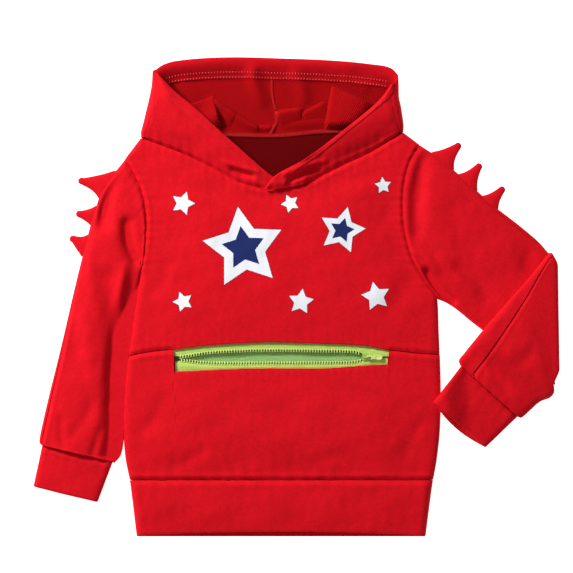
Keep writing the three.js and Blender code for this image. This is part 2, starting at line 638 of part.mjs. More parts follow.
// A band round a flattened opening, from the seam to its end
function cuff(band, turn, lift) {
  const radius = BAND_FLAT / 2;
  const grid = [];
  const { rows, flats } = CUFF_GRID;
  for (let i = 0; i <= rows; i += 1) {
    const t = i / rows;
    const over = new THREE.Vector2(mix(band.overX, band.endOverX, t), mix(band.overY, band.endOverY, t));
    const under = new THREE.Vector2(mix(band.underX, band.endUnderX, t), mix(band.underY, band.endUnderY, t));
    const width = over.distanceTo(under);
    const away = new THREE.Vector2(band.endOverX - band.overX, band.endOverY - band.overY).normalize();
    const arc = (Math.PI * radius) / 2;
    const half = width - 2 * radius + 2 * arc;
    const places = [];
    for (let k = 0; k < 2; k += 1) places.push((arc * k) / 2);
    for (let k = 0; k <= flats; k += 1) places.push(mix(arc, half - arc, k / flats));
    places.push(half - arc / 2);
    const round = [...places, half, ...places.slice(1).reverse().map((q) => -q)];
    grid.push(round.map((q) => {
      const ring = ringPoint(q, width, radius);
      const share = ring.across / width;
      const x = mix(over.x, under.x, share);
      const y = mix(over.y, under.y, share);
      const longer = q < 0 ? band.gape * Math.sin(Math.PI * share) * t : 0;
      const z = radius + ring.height + lift(x, y);
      return new THREE.Vector3(x + away.x * longer, y + away.y * longer, z);
    }));
  }
  return wall(grid, BAND, turn, { round: true });
}

// The hem band, round the body from the hem seam down; its front edge lies a little above its back edge
function hemBand() {
  const grid = [];
  const rows = 4;
  const columns = stops(11);
  const sides = [
    { y: 0, right: HEM.bottomRight, left: HEM.bottomLeft },
    { y: HEM.waistY, right: BODY_SIDES[0].right + 1.6, left: BODY_SIDES[0].left - 1.8 },
    { y: HEM.seamY, right: BODY_SIDES[0].right, left: BODY_SIDES[0].left },
  ];
  for (let i = 0; i <= rows; i += 1) {
    const point = (stop, front) => {
      const t = i / rows;
      const straight = mix(0, HEM.seamY - SEAM, t);
      const x = place(stop, read(sides, "y", "right", straight), read(sides, "y", "left", straight), EDGE);
      const middle = Math.sin(Math.PI * clamp((x - HEM.bottomRight) / (HEM.bottomLeft - HEM.bottomRight)));
      const y = straight + (front ? HEM.frontRise * Math.sqrt(middle) * (1 - t) : 0);
      const drop = EDGE * (1 - Math.sin(radians(stop.angle)));
      return new THREE.Vector3(x, y, front ? FLAT - drop : drop);
    };
    const over = columns.map((stop) => point(stop, true));
    const under = columns.slice(1, -1).reverse().map((stop) => point(stop, false));
    grid.push([...over, ...under]);
  }
  return wall(grid, BAND, 1, { round: true });
}

// How high a folded-up corner inside the hood lies at a point
function cornerHeight(corner, x, y) {
  const inside = (endX, endY, turn) => {
    const dx = endX - corner.x;
    const dy = endY - corner.y;
    return (turn * ((x - corner.x) * dy - (y - corner.y) * dx)) / Math.hypot(dx, dy);
  };
  const turn = corner.backX < corner.x ? 1 : -1;
  const beside = inside(corner.sideX, corner.sideY, turn);
  const below = inside(corner.backX, corner.backY, -turn);
  const away = Math.hypot(x - corner.x, y - corner.y);
  const fade = smooth((corner.reach - away) / CORNER_FADE);
  return corner.height * fade * smooth(beside / corner.edge + 0.5) * smooth(below / corner.edge + 0.5);
}

// The lower, outer face of the hood's back layer
function hoodFloor(x, y) {
  let z = CROWN_RISE.height * smooth((y - read(CROWN, "x", "y", x)) / CROWN_RISE.reach + 1);
  z += folded(HOOD_FOLDS, x, y);
  for (const corner of HOOD_CORNERS) z = Math.max(z, cornerHeight(corner, x, y));
  const above = smooth((y - read(BACK_NECK, "x", "y", x)) / NECK_RISE);
  return Math.max(0, z) * above;
}

// One half of the hood: its front wing from the rim, the side fold, and its back layer to the centre seam
function hoodHalf(rows, side, frontNeck, backNeck) {
  const outwards = side === "left" ? 1 : -1;
  const { lines, wing, fold, back } = HOOD_GRID;
  const grid = [];
  const corner = rows.at(-1);
  for (let i = 0; i <= lines; i += 1) {
    const v = i / lines;
    const cut = section(rows, v);
    const up = (cut.sideY - rows[0].sideY) / (corner.sideY - rows[0].sideY);
    const points = [];
    const inwards = cut.sideX - outwards * cut.radius;
    for (let k = 0; k <= wing; k += 1) {
      const w = k / wing;
      const x = mix(cut.rimX, inwards, w);
      const straight = mix(cut.rimY, cut.sideY, w);
      const neck = onLine(frontNeck, "x", "y", x) + SEAM_SLANT;
      const chord = mix(rows[0].rimY, rows[0].sideY, (x - rows[0].rimX) / (rows[0].sideX - rows[0].rimX));
      const y = straight + (neck - chord) * (1 - v) ** 2;
      const over = side === "left" ? smooth((WING_OVERLAP.from - x) / WING_OVERLAP.reach + 1) : 0;
      points.push(new THREE.Vector3(x, y, cut.height + WING_OVERLAP.lift * over));
    }
    const backY = (x) => mix(onLine(backNeck, "x", "y", x) + SEAM_SLANT, read(CROWN, "x", "y", x), up);
    const low = hoodFloor(inwards, backY(inwards)) * smooth(v / HOOD_SETTLES);
    const middle = (cut.height + low) / 2;
    for (let k = 1; k < fold; k += 1) {
      const angle = (Math.PI * k) / fold;
      const x = inwards + outwards * cut.radius * Math.sin(angle);
      const y = mix(cut.sideY, backY(inwards), k / fold);
      points.push(new THREE.Vector3(x, y, middle + (cut.height - middle) * Math.cos(angle)));
    }
    const centre = HOOD_SEAM_X + (outwards * SEAM) / 2;
    for (let k = 0; k <= back; k += 1) {
      const x = mix(inwards, centre, k / back);
      const y = backY(x);
      points.push(new THREE.Vector3(x, y, k === 0 ? low : hoodFloor(x, y)));
    }
    grid.push(points);
  }
  return wall(grid, CLOTH, outwards, { alongY: true });
}

// One tape of the zip: from its toothed edge to where it is tucked under the cloth
function zipTape(upper) {
  const grid = [];
  const rows = TAPE_ROWS;
  const [first, last] = [ZIP_WINDOW[0], ZIP_WINDOW.at(-1)];
  for (let i = 0; i <= rows; i += 1) {
    const x = mix(first.x, last.x, i / rows);
    const tooth = read(ZIP_MOUTH, "x", upper ? "upper" : "lower", x);
    const cloth = read(ZIP_WINDOW, "x", upper ? "top" : "bottom", x) + (upper ? TAPE_TUCK : -TAPE_TUCK);
    grid.push([0, 0.5, 1].map((t) => new THREE.Vector3(x, mix(tooth, cloth, t), TAPE_Z + TAPE)));
  }
  return wall(grid, TAPE, upper ? -1 : 1);
}

// The pocket's lining, behind the zip
function pocketLining() {
  const grid = [];
  for (let i = 0; i <= 4; i += 1) {
    const y = mix(POCKET.bottomY, POCKET.topY, i / 4);
    const narrow = 10 * (1 - i / 4) ** 3;
    const row = [];
    for (let j = 0; j <= 8; j += 1) {
      const x = mix(POCKET.right + narrow, POCKET.left - narrow, j / 8);
      row.push(new THREE.Vector3(x, y, POCKET.z + LINING));
    }
    grid.push(row);
  }
  return wall(grid, LINING, 1);
}

function extruded(shape, depth, z) {
  const geometry = new THREE.ExtrudeGeometry(shape, { depth, bevelEnabled: false, curveSegments: 6 });
  return geometry.translate(0, 0, z);
}

function box(width, length, height, x, y, z) {
  return new THREE.BoxGeometry(width, length, height).translate(x, y, z + height / 2);
}

// The slider: an upper and a lower plate, wide at the nose, a post between them and a bail on top
function slider() {
  const { x, y, length, noseWidth, tailWidth, neck, round, post, postIn } = SLIDER;
  const plate = new THREE.Shape();
  const nose = x - length / 2;
  const tail = x + length / 2;
  plate.moveTo(nose + round, y - noseWidth / 2);
  plate.quadraticCurveTo(x, y - noseWidth / 2, x + neck, y - tailWidth / 2);
  plate.lineTo(tail, y - tailWidth / 2);
  plate.lineTo(tail, y + tailWidth / 2);
  plate.lineTo(x + neck, y + tailWidth / 2);
  plate.quadraticCurveTo(x, y + noseWidth / 2, nose + round, y + noseWidth / 2);
  plate.quadraticCurveTo(nose, y, nose + round, y - noseWidth / 2);
  const { under, underTop, plate: plateZ, top } = SLIDER_Z;
  const leg = (at) => box(BAIL.leg, BAIL.width, BAIL.height - 2 * BAIL.sunk, at, y, top - BAIL.sunk);
  const bridgeZ = top + BAIL.height - BAIL.bridge;
  const bridge = box(2 * BAIL.half + BAIL.leg, BAIL.width, BAIL.bridge, x, y, bridgeZ);
  const parts = [
    extruded(plate, underTop - under, under),
    extruded(plate, top - plateZ, plateZ),
    box(2 * post, post, top - under, nose + postIn, y, under),
    leg(x - BAIL.half),
    leg(x + BAIL.half),
    bridge,
  ].map(toSolid);
  return toGeometry(parts.reduce((whole, part) => whole.add(part)));
}

// The pull: a pin that passes under the bail, two cheeks beside it and a rounded tab
function pullTab() {
  const { x, y } = SLIDER;
  const { pin, hole, length, width, cheek, thick } = PULL;
  const half = width / 2;
  const shape = new THREE.Shape();
  shape.moveTo(x, y - half);
  shape.lineTo(x + length - half, y - half);
  shape.absarc(x + length - half, y, half, -Math.PI / 2, Math.PI / 2);
  shape.lineTo(x, y + half);
  shape.absarc(x, y, half, Math.PI / 2, -Math.PI / 2 + 2 * Math.PI);
  const inside = new THREE.Path();
  inside.moveTo(x + pin, y - half + cheek);
  inside.lineTo(x + hole, y - half + cheek);
  inside.lineTo(x + hole, y + half - cheek);
  inside.lineTo(x + pin, y + half - cheek);
  shape.holes.push(inside);
  const blank = toSolid(extruded(shape, thick, PULL.pinZ - thick / 2));
  const behind = toSolid(box(half, width + 1, 2 * thick, x - pin - half / 2, y, PULL.pinZ - thick));
  return toGeometry(blank.subtract(behind));
}

// The overarm edge of a sleeve from the shoulder to the cuff or the elbow
function overarm(side) {
  const rows = side === "right" ? RIGHT_SLEEVE : LEFT_UPPER_ARM;
  const steps = side === "right" ? SLEEVE_ROWS.right : SLEEVE_ROWS.upperArm;
  const cuts = Array.from({ length: steps + 1 }, (_, i) => section(rows, i / steps));
  return cuts.map((cut) => ({ x: cut.overX, y: cut.overY }));
}

// A spike: two hollow sides from its base, on the overarm edge, to a rounded tip
function spike(edge, { fromY, toY, tipX, tipY }) {
  const onEdge = (y) => {
    const k = Math.max(1, edge.findIndex((point) => point.y <= y));
    const t = (y - edge[k - 1].y) / (edge[k].y - edge[k - 1].y);
    return new THREE.Vector2(mix(edge[k - 1].x, edge[k].x, t), y);
  };
  const tip = new THREE.Vector2(tipX, tipY);
  const start = onEdge(fromY);
  const along = onEdge(toY).sub(start).normalize();
  const out = new THREE.Vector2(-along.y, along.x);
  if (out.dot(tip.clone().sub(start)) < 0) out.negate();
  const between = edge.filter((point) => point.y < fromY - SPIKE.step && point.y > toY + SPIKE.step);
  const heights = [fromY, ...between.map((point) => point.y), toY];
  const base = heights.map((y) => onEdge(y).addScaledVector(out, SPIKE.clear));
  const foot = base[0].clone().lerp(base.at(-1), 0.5);
  const side = (end, sign) => {
    const shoulder = tip.clone().addScaledVector(along, sign * SPIKE.tipRadius);
    const middle = end.clone().lerp(shoulder, 0.5).lerp(foot.clone().lerp(tip, 0.4), SPIKE.hollow);
    return { shoulder, middle };
  };
  const first = side(base[0], -1);
  const second = side(base.at(-1), 1);
  const point = tip.clone().addScaledVector(out, SPIKE.tipRadius);
  const shape = new THREE.Shape();
  shape.moveTo(base[0].x, base[0].y);
  shape.quadraticCurveTo(first.middle.x, first.middle.y, first.shoulder.x, first.shoulder.y);
  shape.quadraticCurveTo(point.x, point.y, second.shoulder.x, second.shoulder.y);
  shape.quadraticCurveTo(second.middle.x, second.middle.y, base.at(-1).x, base.at(-1).y);
  for (const point of base.slice(1, -1).reverse()) shape.lineTo(point.x, point.y);
  shape.closePath();
  return extruded(shape, SPIKE.thick, SPIKE.z);
}

const frontSeam = (x) => read(FRONT_SEAM, "x", "y", x);
const garment = new THREE.Group();
function add(name, geometry, material) {
  const mesh = new THREE.Mesh(geometry, material);
  mesh.name = name;
  garment.add(mesh);
}

const frontUpper = bodyGrid({
  bottom: (x) => frontSeam(x) + SEAM, top: frontTop, front: true, flats: 13, rows: 11, shoulders: true,
});
const hemSeam = () => HEM.seamY;
const underSeam = (x) => frontSeam(x) - SEAM / 2;
const frontLower = bodyGrid({
  bottom: hemSeam, top: underSeam, front: true, flats: 13, rows: 8, shoulders: false,
});
const back = bodyGrid({ bottom: hemSeam, top: backTop, front: false, flats: 12, rows: 17, shoulders: true });
add("front_upper", withWindow(frontUpper), RED);
add("front_lower", withWindow(frontLower), RED);
add("back", wall(back, CLOTH, -1, { rounded: true }), DARK_RED);
add("hem_band", hemBand(), RED);
for (const side of ["right", "left"]) {
  const turn = side === "right" ? -1 : 1;
  const edge = (grid) => grid.map((row) => (side === "right" ? row[0] : row.at(-1)));
  const thinner = acuteCorner(side);
  add(`${side}_sleeve_front`, wall(sleeveGrid(side, 1, edge(frontUpper)), CLOTH, turn, { thinner }), RED);
  add(`${side}_sleeve_back`, wall(sleeveGrid(side, -1, edge(back)), CLOTH, -turn, { thinner }), DARK_RED);
  SPIKES[side].forEach((row, i) => add(`${side}_spike_${i + 1}`, spike(overarm(side), row), RED));
}
add("right_cuff", cuff(RIGHT_CUFF, -1, () => 0), RED);
add("left_cuff", cuff(LEFT_CUFF, -1, raised), RED);
add("hood_right", hoodHalf(HOOD_RIGHT, "right", frontUpper.at(-1), back.at(-1)), RED);
add("hood_left", hoodHalf(HOOD_LEFT, "left", frontUpper.at(-1), back.at(-1)), RED);
add("zip_tape_upper", zipTape(true), LIME);
add("zip_tape_lower", zipTape(false), LIME);
add("pocket_lining", pocketLining(), GREEN);
add("zip_slider", slider(), LIME_ENAMEL);
add("zip_pull", pullTab(), LIME_ENAMEL);

// The frame: its origin is at the middle of the overall box, at the bottom
const bounds = new THREE.Box3().setFromObject(garment);
const middle = bounds.getCenter(new THREE.Vector3());
garment.position.set(-middle.x, -middle.y, -bounds.min.z);

export default garment;
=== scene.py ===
# A kids' pullover hoodie laid flat on its back: cloth shells, zip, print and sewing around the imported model.
# Lengths are millimetres in the pattern's frame: x across the body to the wearer's left, y up from the hem.
import math

import bmesh
import bpy
import numpy as np
from mathutils import Matrix, Vector


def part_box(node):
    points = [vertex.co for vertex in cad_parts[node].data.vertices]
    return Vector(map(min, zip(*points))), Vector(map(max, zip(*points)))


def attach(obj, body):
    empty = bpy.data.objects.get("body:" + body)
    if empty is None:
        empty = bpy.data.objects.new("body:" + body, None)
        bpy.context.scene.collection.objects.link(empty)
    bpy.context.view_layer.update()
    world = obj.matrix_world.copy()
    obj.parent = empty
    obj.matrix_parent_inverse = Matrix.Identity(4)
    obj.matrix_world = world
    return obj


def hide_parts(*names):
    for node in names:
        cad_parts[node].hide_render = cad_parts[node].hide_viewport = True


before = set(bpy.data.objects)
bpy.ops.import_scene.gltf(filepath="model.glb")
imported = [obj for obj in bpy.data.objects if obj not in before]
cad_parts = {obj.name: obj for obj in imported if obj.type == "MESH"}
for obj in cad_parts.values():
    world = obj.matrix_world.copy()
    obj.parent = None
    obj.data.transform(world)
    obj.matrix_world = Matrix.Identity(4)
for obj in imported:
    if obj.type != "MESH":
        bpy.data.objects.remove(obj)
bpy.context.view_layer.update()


# Tables and curves
def table(names, *rows):
    """Named columns from rows of numbers."""
    return {name: np.array([row[k] for row in rows], float) for k, name in enumerate(names.split())}


def mix(a, b, t):
    return a + (b - a) * t


def smooth(t):
    t = np.clip(t, 0, 1)
    return t * t * (3 - 2 * t)


def read(rows, by, column, at):
    """One column of a table, on a smooth curve through its rows."""
    xs, ys = rows[by], rows[column]
    i = np.clip(np.searchsorted(xs, at) - 1, 0, len(xs) - 2)
    order = np.arange(len(xs))
    before, after = np.maximum(order - 1, 0), np.minimum(order + 1, len(xs) - 1)
    slope = (ys[after] - ys[before]) / (xs[after] - xs[before])
    span = xs[i + 1] - xs[i]
    t = np.clip((at - xs[i]) / span, 0, 1)
    ends = t * (1 - t) ** 2 * slope[i] + t * t * (t - 1) * slope[i + 1]
    return mix(ys[i], ys[i + 1], smooth(t)) + ends * span


def section(rows, t):
    """All columns of a table whose rows are evenly spaced from 0 to 1."""
    count = len(next(iter(rows.values())))
    stepped = {**rows, "step": np.linspace(0, 1, count)}
    return {name: read(stepped, "step", name, t) for name in rows}


# Cloth
CLOTH = 2.6
BAND = 3.0
SEAM = 0.3
FLAT = 9.0
EDGE = FLAT / 2
BAND_FLAT = 2 * BAND + 1.2
SOFT_EDGE = 9.0  # how far in a rounded side starts to fall

# Body
BODY_SIDES = table(
    "y right left",
    (62, -172, 168.3), (85, -176.5, 172.5), (118, -179, 176), (160, -178, 177), (200, -173.8, 176),
    (230, -169.5, 174.8), (258, -165.5, 173.8), (270, -163.8, 171.5), (283, -162, 161.5), (303, -159, 149),
    (316, -156.5, 143.5), (342, -153.7, 137), (364, -154.3, 135.2), (387, -158.8, 135.8),
    (407, -168, 139.3), (422, -177.4, 144.5), (438, -189, 153.3),
)
UNDERARM = {"right": 303, "left": 268}
ARMHOLE_END = {"right": 1, "left": 3}
SHOULDER = {"right": (-177.4, 422, -159.4, 445.8), "left": (153.3, 438, 134.6, 451.9)}  # tip, neck point
FRONT_NECK = table(
    "x y",
    (-159.4, 445.8), (-121.4, 431.8), (-91.4, 418.8), (-71.3, 407.8), (-51.4, 396.7), (-31.4, 390.3),
    (-11.3, 388.1), (8.6, 390.8), (28.7, 395.9), (68.7, 415.7), (98.6, 429.7), (134.6, 451.9),
)
BACK_NECK = table("x y", (-159.4, 445.8), (-100, 449.5), (-8, 447.5), (45, 452), (134.6, 451.9))
HEM_SIDES = table("y right left", (0, -164.3, 160), (50, -170.4, 166.5), (62, -172, 168.3))
HEM_SEAM_Y = 62
HEM_RISE = 5.5
FRONT_SEAM = table(
    "x y", (-180, 199), (-155, 204.5), (-122.5, 207.8), (119, 207), (150, 204), (180, 202)
)
ZIP_WINDOW = table(
    "x top bottom",
    (-122.5, 207.8, 183.3), (-93, 211.7, 184.8), (-54.9, 214.6, 186.5), (-15, 216.2, 187.4),
    (45.9, 214.6, 187.3), (91.7, 212.2, 190.4), (118.7, 207, 191.7),
)
ZIP_MOUTH = table(
    "x upper lower",
    (-122.5, 200.2, 196.6), (-113, 200.6, 195.6), (-80, 205.5, 192.6), (-22, 207.8, 192.4),
    (46, 207.2, 192.8), (80, 206.2, 193.6), (91, 202.6, 196.4), (99, 200.3, 198.4), (118.7, 200.1, 198.6),
)
TAPE_TOP = 6.1
LINING_TOP = 3.7

# Sleeves: over and under edges of each section, and the overarm seam's place
RIGHT_SLEEVE = table(
    "overX overY underX underY seam",
    (-177.4, 422.1, -158.8, 301.8, 0), (-200.5, 391.4, -162.8, 285, 0), (-211.7, 362.3, -165.2, 267.1, 0),
    (-222.9, 320.9, -168.2, 244.7, 1), (-234.5, 273.8, -172.2, 217.8, 2), (-243.2, 235.8, -175.4, 192.1, 3.5),
    (-251.7, 199.9, -178.4, 165.2, 4.5), (-260.3, 165.5, -179.6, 138.3, 5.5),
    (-268.8, 129.4, -180.2, 109.2, 6), (-273.3, 106.5, -183.4, 90.5, 5.5), (-271.2, 101.1, -190.4, 81.2, 5),
)
LEFT_UPPER_ARM = table(
    "overX overY underX underY seam",
    (153.3, 438.1, 173.6, 264.9, 0), (175.8, 422.8, 182.6, 261, 1.5), (205, 397.6, 193.8, 253.7, 3),
    (234.1, 371.3, 209.4, 240.8, 5), (261, 350.6, 227.4, 226.8, 6), (284.5, 331, 254.2, 205.5, 5),
    (297.5, 316.5, 296.2, 169.7, 0),
)
LEFT_FOREARM = table(
    "overX overY underX underY seam",
    (297.5, 316.5, 302, 169.7, -8), (271.5, 284.8, 303.4, 161, -16), (260, 272, 299, 154.4, -19),
    (248.6, 259.3, 288, 149.5, -22),
    (225.1, 232.4, 277.8, 140.6, -25), (204.5, 206, 270.5, 133.8, -25), (197.1, 196.6, 266.6, 131.6, -25),
    (198.4, 190.5, 263.2, 132.9, -25),
)
ELBOW_RADIUS = EDGE + 1.0
UPPER_ARM_EDGE = (220.6, 227.9, -0.566, -0.824)
FOREARM_FALL = 30
CUFF_CLIMB = {"from": 210, "over": 32, "height": FLAT + 0.5}
CUFFS = {
    "right": dict(over=(-270.2, 100.6), under=(-191.6, 80.4), endOver=(-279.8, 56), endUnder=(-207.4, 38.4), gape=0.6),
    "left": dict(over=(199.2, 189.4), under=(262.4, 132.3), endOver=(168.8, 150.6), endUnder=(228.2, 99.4), gape=5.5),
}
SPIKES = {
    "right": table(
        "fromY toY tipX tipY hollowFrom hollowTo",
        (410, 376.6, -227, 397.8, 0.16, 0.32), (370.6, 347, -229.6, 360.5, 0.3, 0.2),
        (338, 311.6, -236.8, 332.6, 0.34, -0.06),
    ),
    "left": table(
        "fromY toY tipX tipY hollowFrom hollowTo",
        (430, 408.6, 197, 437.4, 0.2, 0.38), (405.4, 385, 220.4, 414.2, 0.26, 0.36),
        (381, 365.2, 246.2, 388.4, 0.28, 0.3),
    ),
}

# Hood
HOOD = {
    "right": table(
        "rimX rimY sideX sideY radius height",
        (14.6, 392.9, -159.4, 446.2, 4.5, 9), (-9, 409.6, -159.2, 453, 6, 12.5),
        (-42, 436, -156.5, 463, 8, 15.5), (-70, 456, -153.5, 475, 9, 17.5), (-98, 479, -150, 488.5, 8.5, 18),
        (-121, 497.5, -147, 503.5, 7, 17.5), (-138.5, 516, -146, 517.5, 4.5, 16.5),
    ),
    "left": table(
        "rimX rimY sideX sideY radius height",
        (-22, 389.4, 134.9, 452.3, 4.5, 9), (-6.8, 409.9, 135.2, 459, 6, 12.5),
        (24.6, 428.1, 134, 468, 8, 15.5), (49, 442.6, 132, 478, 9, 17.5), (80, 465, 130, 486, 8.5, 18),
        (106, 486, 129.5, 496, 7, 17.5), (121, 505, 129, 506.5, 4.5, 16.5),
    ),
}
CROWN = table(
    "x y",
    (-146, 517.5), (-141, 522.5), (-133, 527.5), (-120, 531.2), (-86.5, 534.5), (-48.9, 535.4), (2.9, 533.9),
    (38.6, 532.7), (74.4, 530.3), (101.1, 527.3), (115.4, 525.1), (124, 521), (129, 514),
)
HOOD_SEAM_X = -12
HOOD_TUCK = 0.8  # how far the hood runs into the neck seam
WING_SHARE = 0.44  # of the columns of a hood half
BEND_SHARE = 0.14

# Folds: a trough (minus) or ridge along a line, its depth, half width and how far its middle bows aside
FOLD_NAMES = "fromX fromY toX toY depth width bow"
BODY_FOLDS = table(
    FOLD_NAMES,
    (-160, 115, -134, 152, -1.4, 13, 3), (120, 250, 150, 292, -1.6, 16, -4), (-150, 268, -128, 306, -1.3, 12, 3),
    (136, 90, 158, 128, -1.2, 11, -3), (-120, 78, -90, 96, -0.9, 10, 2), (30, 74, 66, 90, -0.9, 12, -3),
    (-40, 380, 30, 372, -1.0, 12, -4), (-118, 396, -70, 384, -0.9, 12, 3), (60, 398, 104, 406, -0.9, 11, 3),
    (-60, 150, 10, 138, -0.8, 18, 6), (60, 160, 110, 150, -0.7, 16, -4), (100, 340, 126, 372, -0.9, 14, 4),
)
RIGHT_SLEEVE_FOLDS = table(
    FOLD_NAMES,
    (-175, 350, -165, 309, -7.5, 9, 3), (-192, 400, -201, 350, -6.5, 12, 3),
    (-196, 286, -186, 100, -5.0, 17, -6), (-177, 300, -184, 226, 2.6, 9, 2), (-214, 340, -216, 200, 1.6, 14, 4),
    (-226, 300, -214, 250, -1.4, 11, 3), (-236, 230, -222, 180, -1.4, 12, 3),
    (-214, 150, -236, 112, -1.6, 10, -3), (-205, 118, -214, 88, -1.8, 6, 0), (-250, 130, -246, 100, -1.5, 7, 0),
)
LEFT_SLEEVE_FOLDS = table(
    FOLD_NAMES,
    (157, 420, 150, 340, -4.8, 12, 3), (161, 296, 190, 262, -9.5, 5.5, 2), (150, 318, 170, 296, 2.4, 9, -3),
    (196, 300, 230, 268, -3.0, 13, -3), (186, 360, 214, 318, -1.8, 15, 4), (272, 312, 284, 290, -3.0, 14, 3),
    (178, 310, 214, 276, 1.8, 10, 3),
)
LEFT_FOREARM_FOLDS = table(
    FOLD_NAMES,
    (288, 300, 264, 258, -2.2, 12, 3), (282, 214, 258, 190, -1.4, 12, -3), (240, 226, 252, 176, -1.2, 14, 4),
    (232, 196, 250, 160, -1.4, 8, 2), (214, 204, 226, 184, -1.2, 6, 0),
)
HOOD_FOLDS = table(
    FOLD_NAMES,
    (-80, 486, -32, 454, 2.5, 9, 0), (4, 462, 40, 462, 2.5, 12, 0), (-34, 520, -24, 486, 4.5, 11, 2),
    (14, 516, 24, 488, 3.6, 12, -2), (-112, 506, -96, 492, 2.0, 10, 0), (70, 512, 92, 500, 2.4, 10, 0),
)
# Folds of the hood's front, close above the neck seam
WING_FOLDS = table(
    FOLD_NAMES,
    (-56, 410, -34, 403, -4.4, 5, 1), (-66, 418, -28, 407, 1.8, 5, 1), (8, 398, 38, 410, -4.8, 5, -1),
    (2, 405, 46, 419, 2.2, 5.5, -1), (70, 425, 112, 446, -1.2, 9, 3), (-128, 446, -96, 432, -1.2, 9, -3),
    (-132, 506, -118, 474, 1.2, 9, 3), (112, 490, 120, 466, 1.2, 8, -3),
)
# Edges inside the hood where one fold lies over the next: sharp above the line, soft below it
HOOD_STEPS = table(
    "fromX fromY toX toY height reach",
    (-76, 488, -52, 472, 5.5, 20), (-54, 473, -27, 457, 5.0, 13), (-30, 458, -14, 458, 3.6, 9),
    (-6, 474, 19, 478, 5.0, 24), (20, 472, 44, 484, 3.0, 22),
)
HOOD_CORNERS = (
    dict(at=(-78.4, 491), side=(-70, 452), back=(-108, 481), height=11, edge=2.2, reach=44, rise=26),
    dict(at=(56, 501), side=(45.4, 440), back=(104, 480), height=12.5, edge=2.2, reach=62, rise=52),
)

hem_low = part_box("hem_band")[0]
SHIFT = np.array([hem_low[0] * 1000 - BODY_SIDES["right"][0], hem_low[1] * 1000, 0.0])


def folded(folds, x, y):
    """How far a list of folds raises or lowers the cloth."""
    height = 0
    for k in range(len(folds["depth"])):
        x0, y0, x1, y1, depth, width, bow = (folds[name][k] for name in FOLD_NAMES.split())
        dx, dy = x1 - x0, y1 - y0
        length = math.hypot(dx, dy)
        along = ((x - x0) * dx + (y - y0) * dy) / length**2
        inside = np.clip(along, 0, 1)
        across = ((x - x0) * dy - (y - y0) * dx) / length - bow * np.sin(np.pi * inside)
        beyond = (along - inside) * length
        taper = 0.45 + 0.55 * np.sin(np.pi * np.clip(0.15 + 0.7 * along, 0, 1))
        height = height + depth * taper * np.exp(-2 * (across**2 + beyond**2) / width**2)
    return height


RIPPLES = table(
    "wave angle phase height",
    (74, 20, 0.4, 0.28), (53, 78, 2.1, 0.24), (41, 140, 4.0, 0.18), (29, 48, 1.3, 0.12), (23, 112, 5.2, 0.09),
    (17, 8, 3.3, 0.06), (13, 160, 0.9, 0.045),
)


def ripple(x, y):
    """The slight unevenness of brushed cloth that lies loose."""
    height = 0
    for wave, angle, phase, size in zip(*RIPPLES.values()):
        turned = x * math.cos(math.radians(angle)) + y * math.sin(math.radians(angle))
        height = height + size * np.sin(2 * np.pi * turned / wave + phase + 0.02 * x)
    return height


def dip(distance, depth=1.4, width=2.4):
    """The furrow beside a seam, with the slight swell of the seam's turned edges next to it."""
    swell = 0.3 * np.exp(-(((distance - 2.1 * width) / width) ** 2))
    return depth * (np.exp(-((distance / width) ** 2)) - swell)


def pucker(distance, along, depth=0.35, pitch=9.0, reach=10.0):
    """Small gathers that fade away from a seam."""
    wave = np.sin(2 * np.pi * along / pitch) + 0.6 * np.sin(2 * np.pi * along / (pitch * 1.63) + 1)
    return depth * wave * np.exp(-distance / reach)


def fall(distance, radius, height):
    """How far a rounded side has fallen at a distance from its edge."""
    t = np.clip(distance / radius, 0, 1)
    return height * (1 - np.sqrt(1 - (1 - t) ** 2))


def spread(u, share=0.35):
    """Even steps with closer ones near both ends."""
    return mix(u, 0.5 - 0.5 * np.cos(np.pi * u), share)


# Pieces
def in_frame(x, y, z):
    """Metres in the model's frame, from millimetres in the pattern's."""
    x, y, z = np.broadcast_arrays(x, y, z)
    return (np.stack([x, y, z], -1) + SHIFT) / 1000


def finish(name, mesh, *materials):
    """An object from a bmesh, smooth shaded, with its materials."""
    data = bpy.data.meshes.new(name)
    mesh.to_mesh(data)
    mesh.free()
    data.shade_smooth()
    piece = bpy.data.objects.new(name, data)
    bpy.context.collection.objects.link(piece)
    for material in materials:
        data.materials.append(material)
    return piece


def lay_rows(mesh, rows_turn):
    """UV in millimetres over the pattern, so rows of yarn keep their pitch; rows_turn gives their slant."""
    layer = mesh.loops.layers.uv.active
    spots = {vertex: np.array(vertex.co[:2]) * 1000 - SHIFT[:2] for vertex in mesh.verts}
    for face in mesh.faces:
        middle = sum(spots[vertex] for vertex in face.verts) / len(face.verts)
        turn = math.radians(rows_turn(*middle) if rows_turn else 0)
        for loop in face.loops:
            x, y = spots[loop.vert]
            loop[layer].uv = (x * math.cos(turn) + y * math.sin(turn), y * math.cos(turn) - x * math.sin(turn))


def surface(name, across, along, place, materials, up=(0.5, 0.5, 1), rows_turn=None):
    """A grid whose points place(u, v) moves; up gives a spot and whether it faces up (1) or down (-1)."""
    mesh = bmesh.new()
    mesh.loops.layers.uv.new("UVMap")
    bmesh.ops.create_grid(mesh, x_segments=across, y_segments=along, size=0.5, calc_uvs=True)
    flat = np.array([vertex.co[:2] for vertex in mesh.verts])
    flat = (flat - flat.min(0)) / (flat.max(0) - flat.min(0))
    points = in_frame(*place(flat[:, 0], flat[:, 1]))
    for vertex, point in zip(mesh.verts, points):
        vertex.co = point
    lay_rows(mesh, rows_turn)
    u, v, sign = up
    spots = in_frame(*place(np.array([u, u + 0.01, u]), np.array([v, v, v + 0.01])))
    if np.cross(spots[1] - spots[0], spots[2] - spots[0])[2] * sign < 0:
        bmesh.ops.reverse_faces(mesh, faces=mesh.faces)
    return finish(name, mesh, *materials)


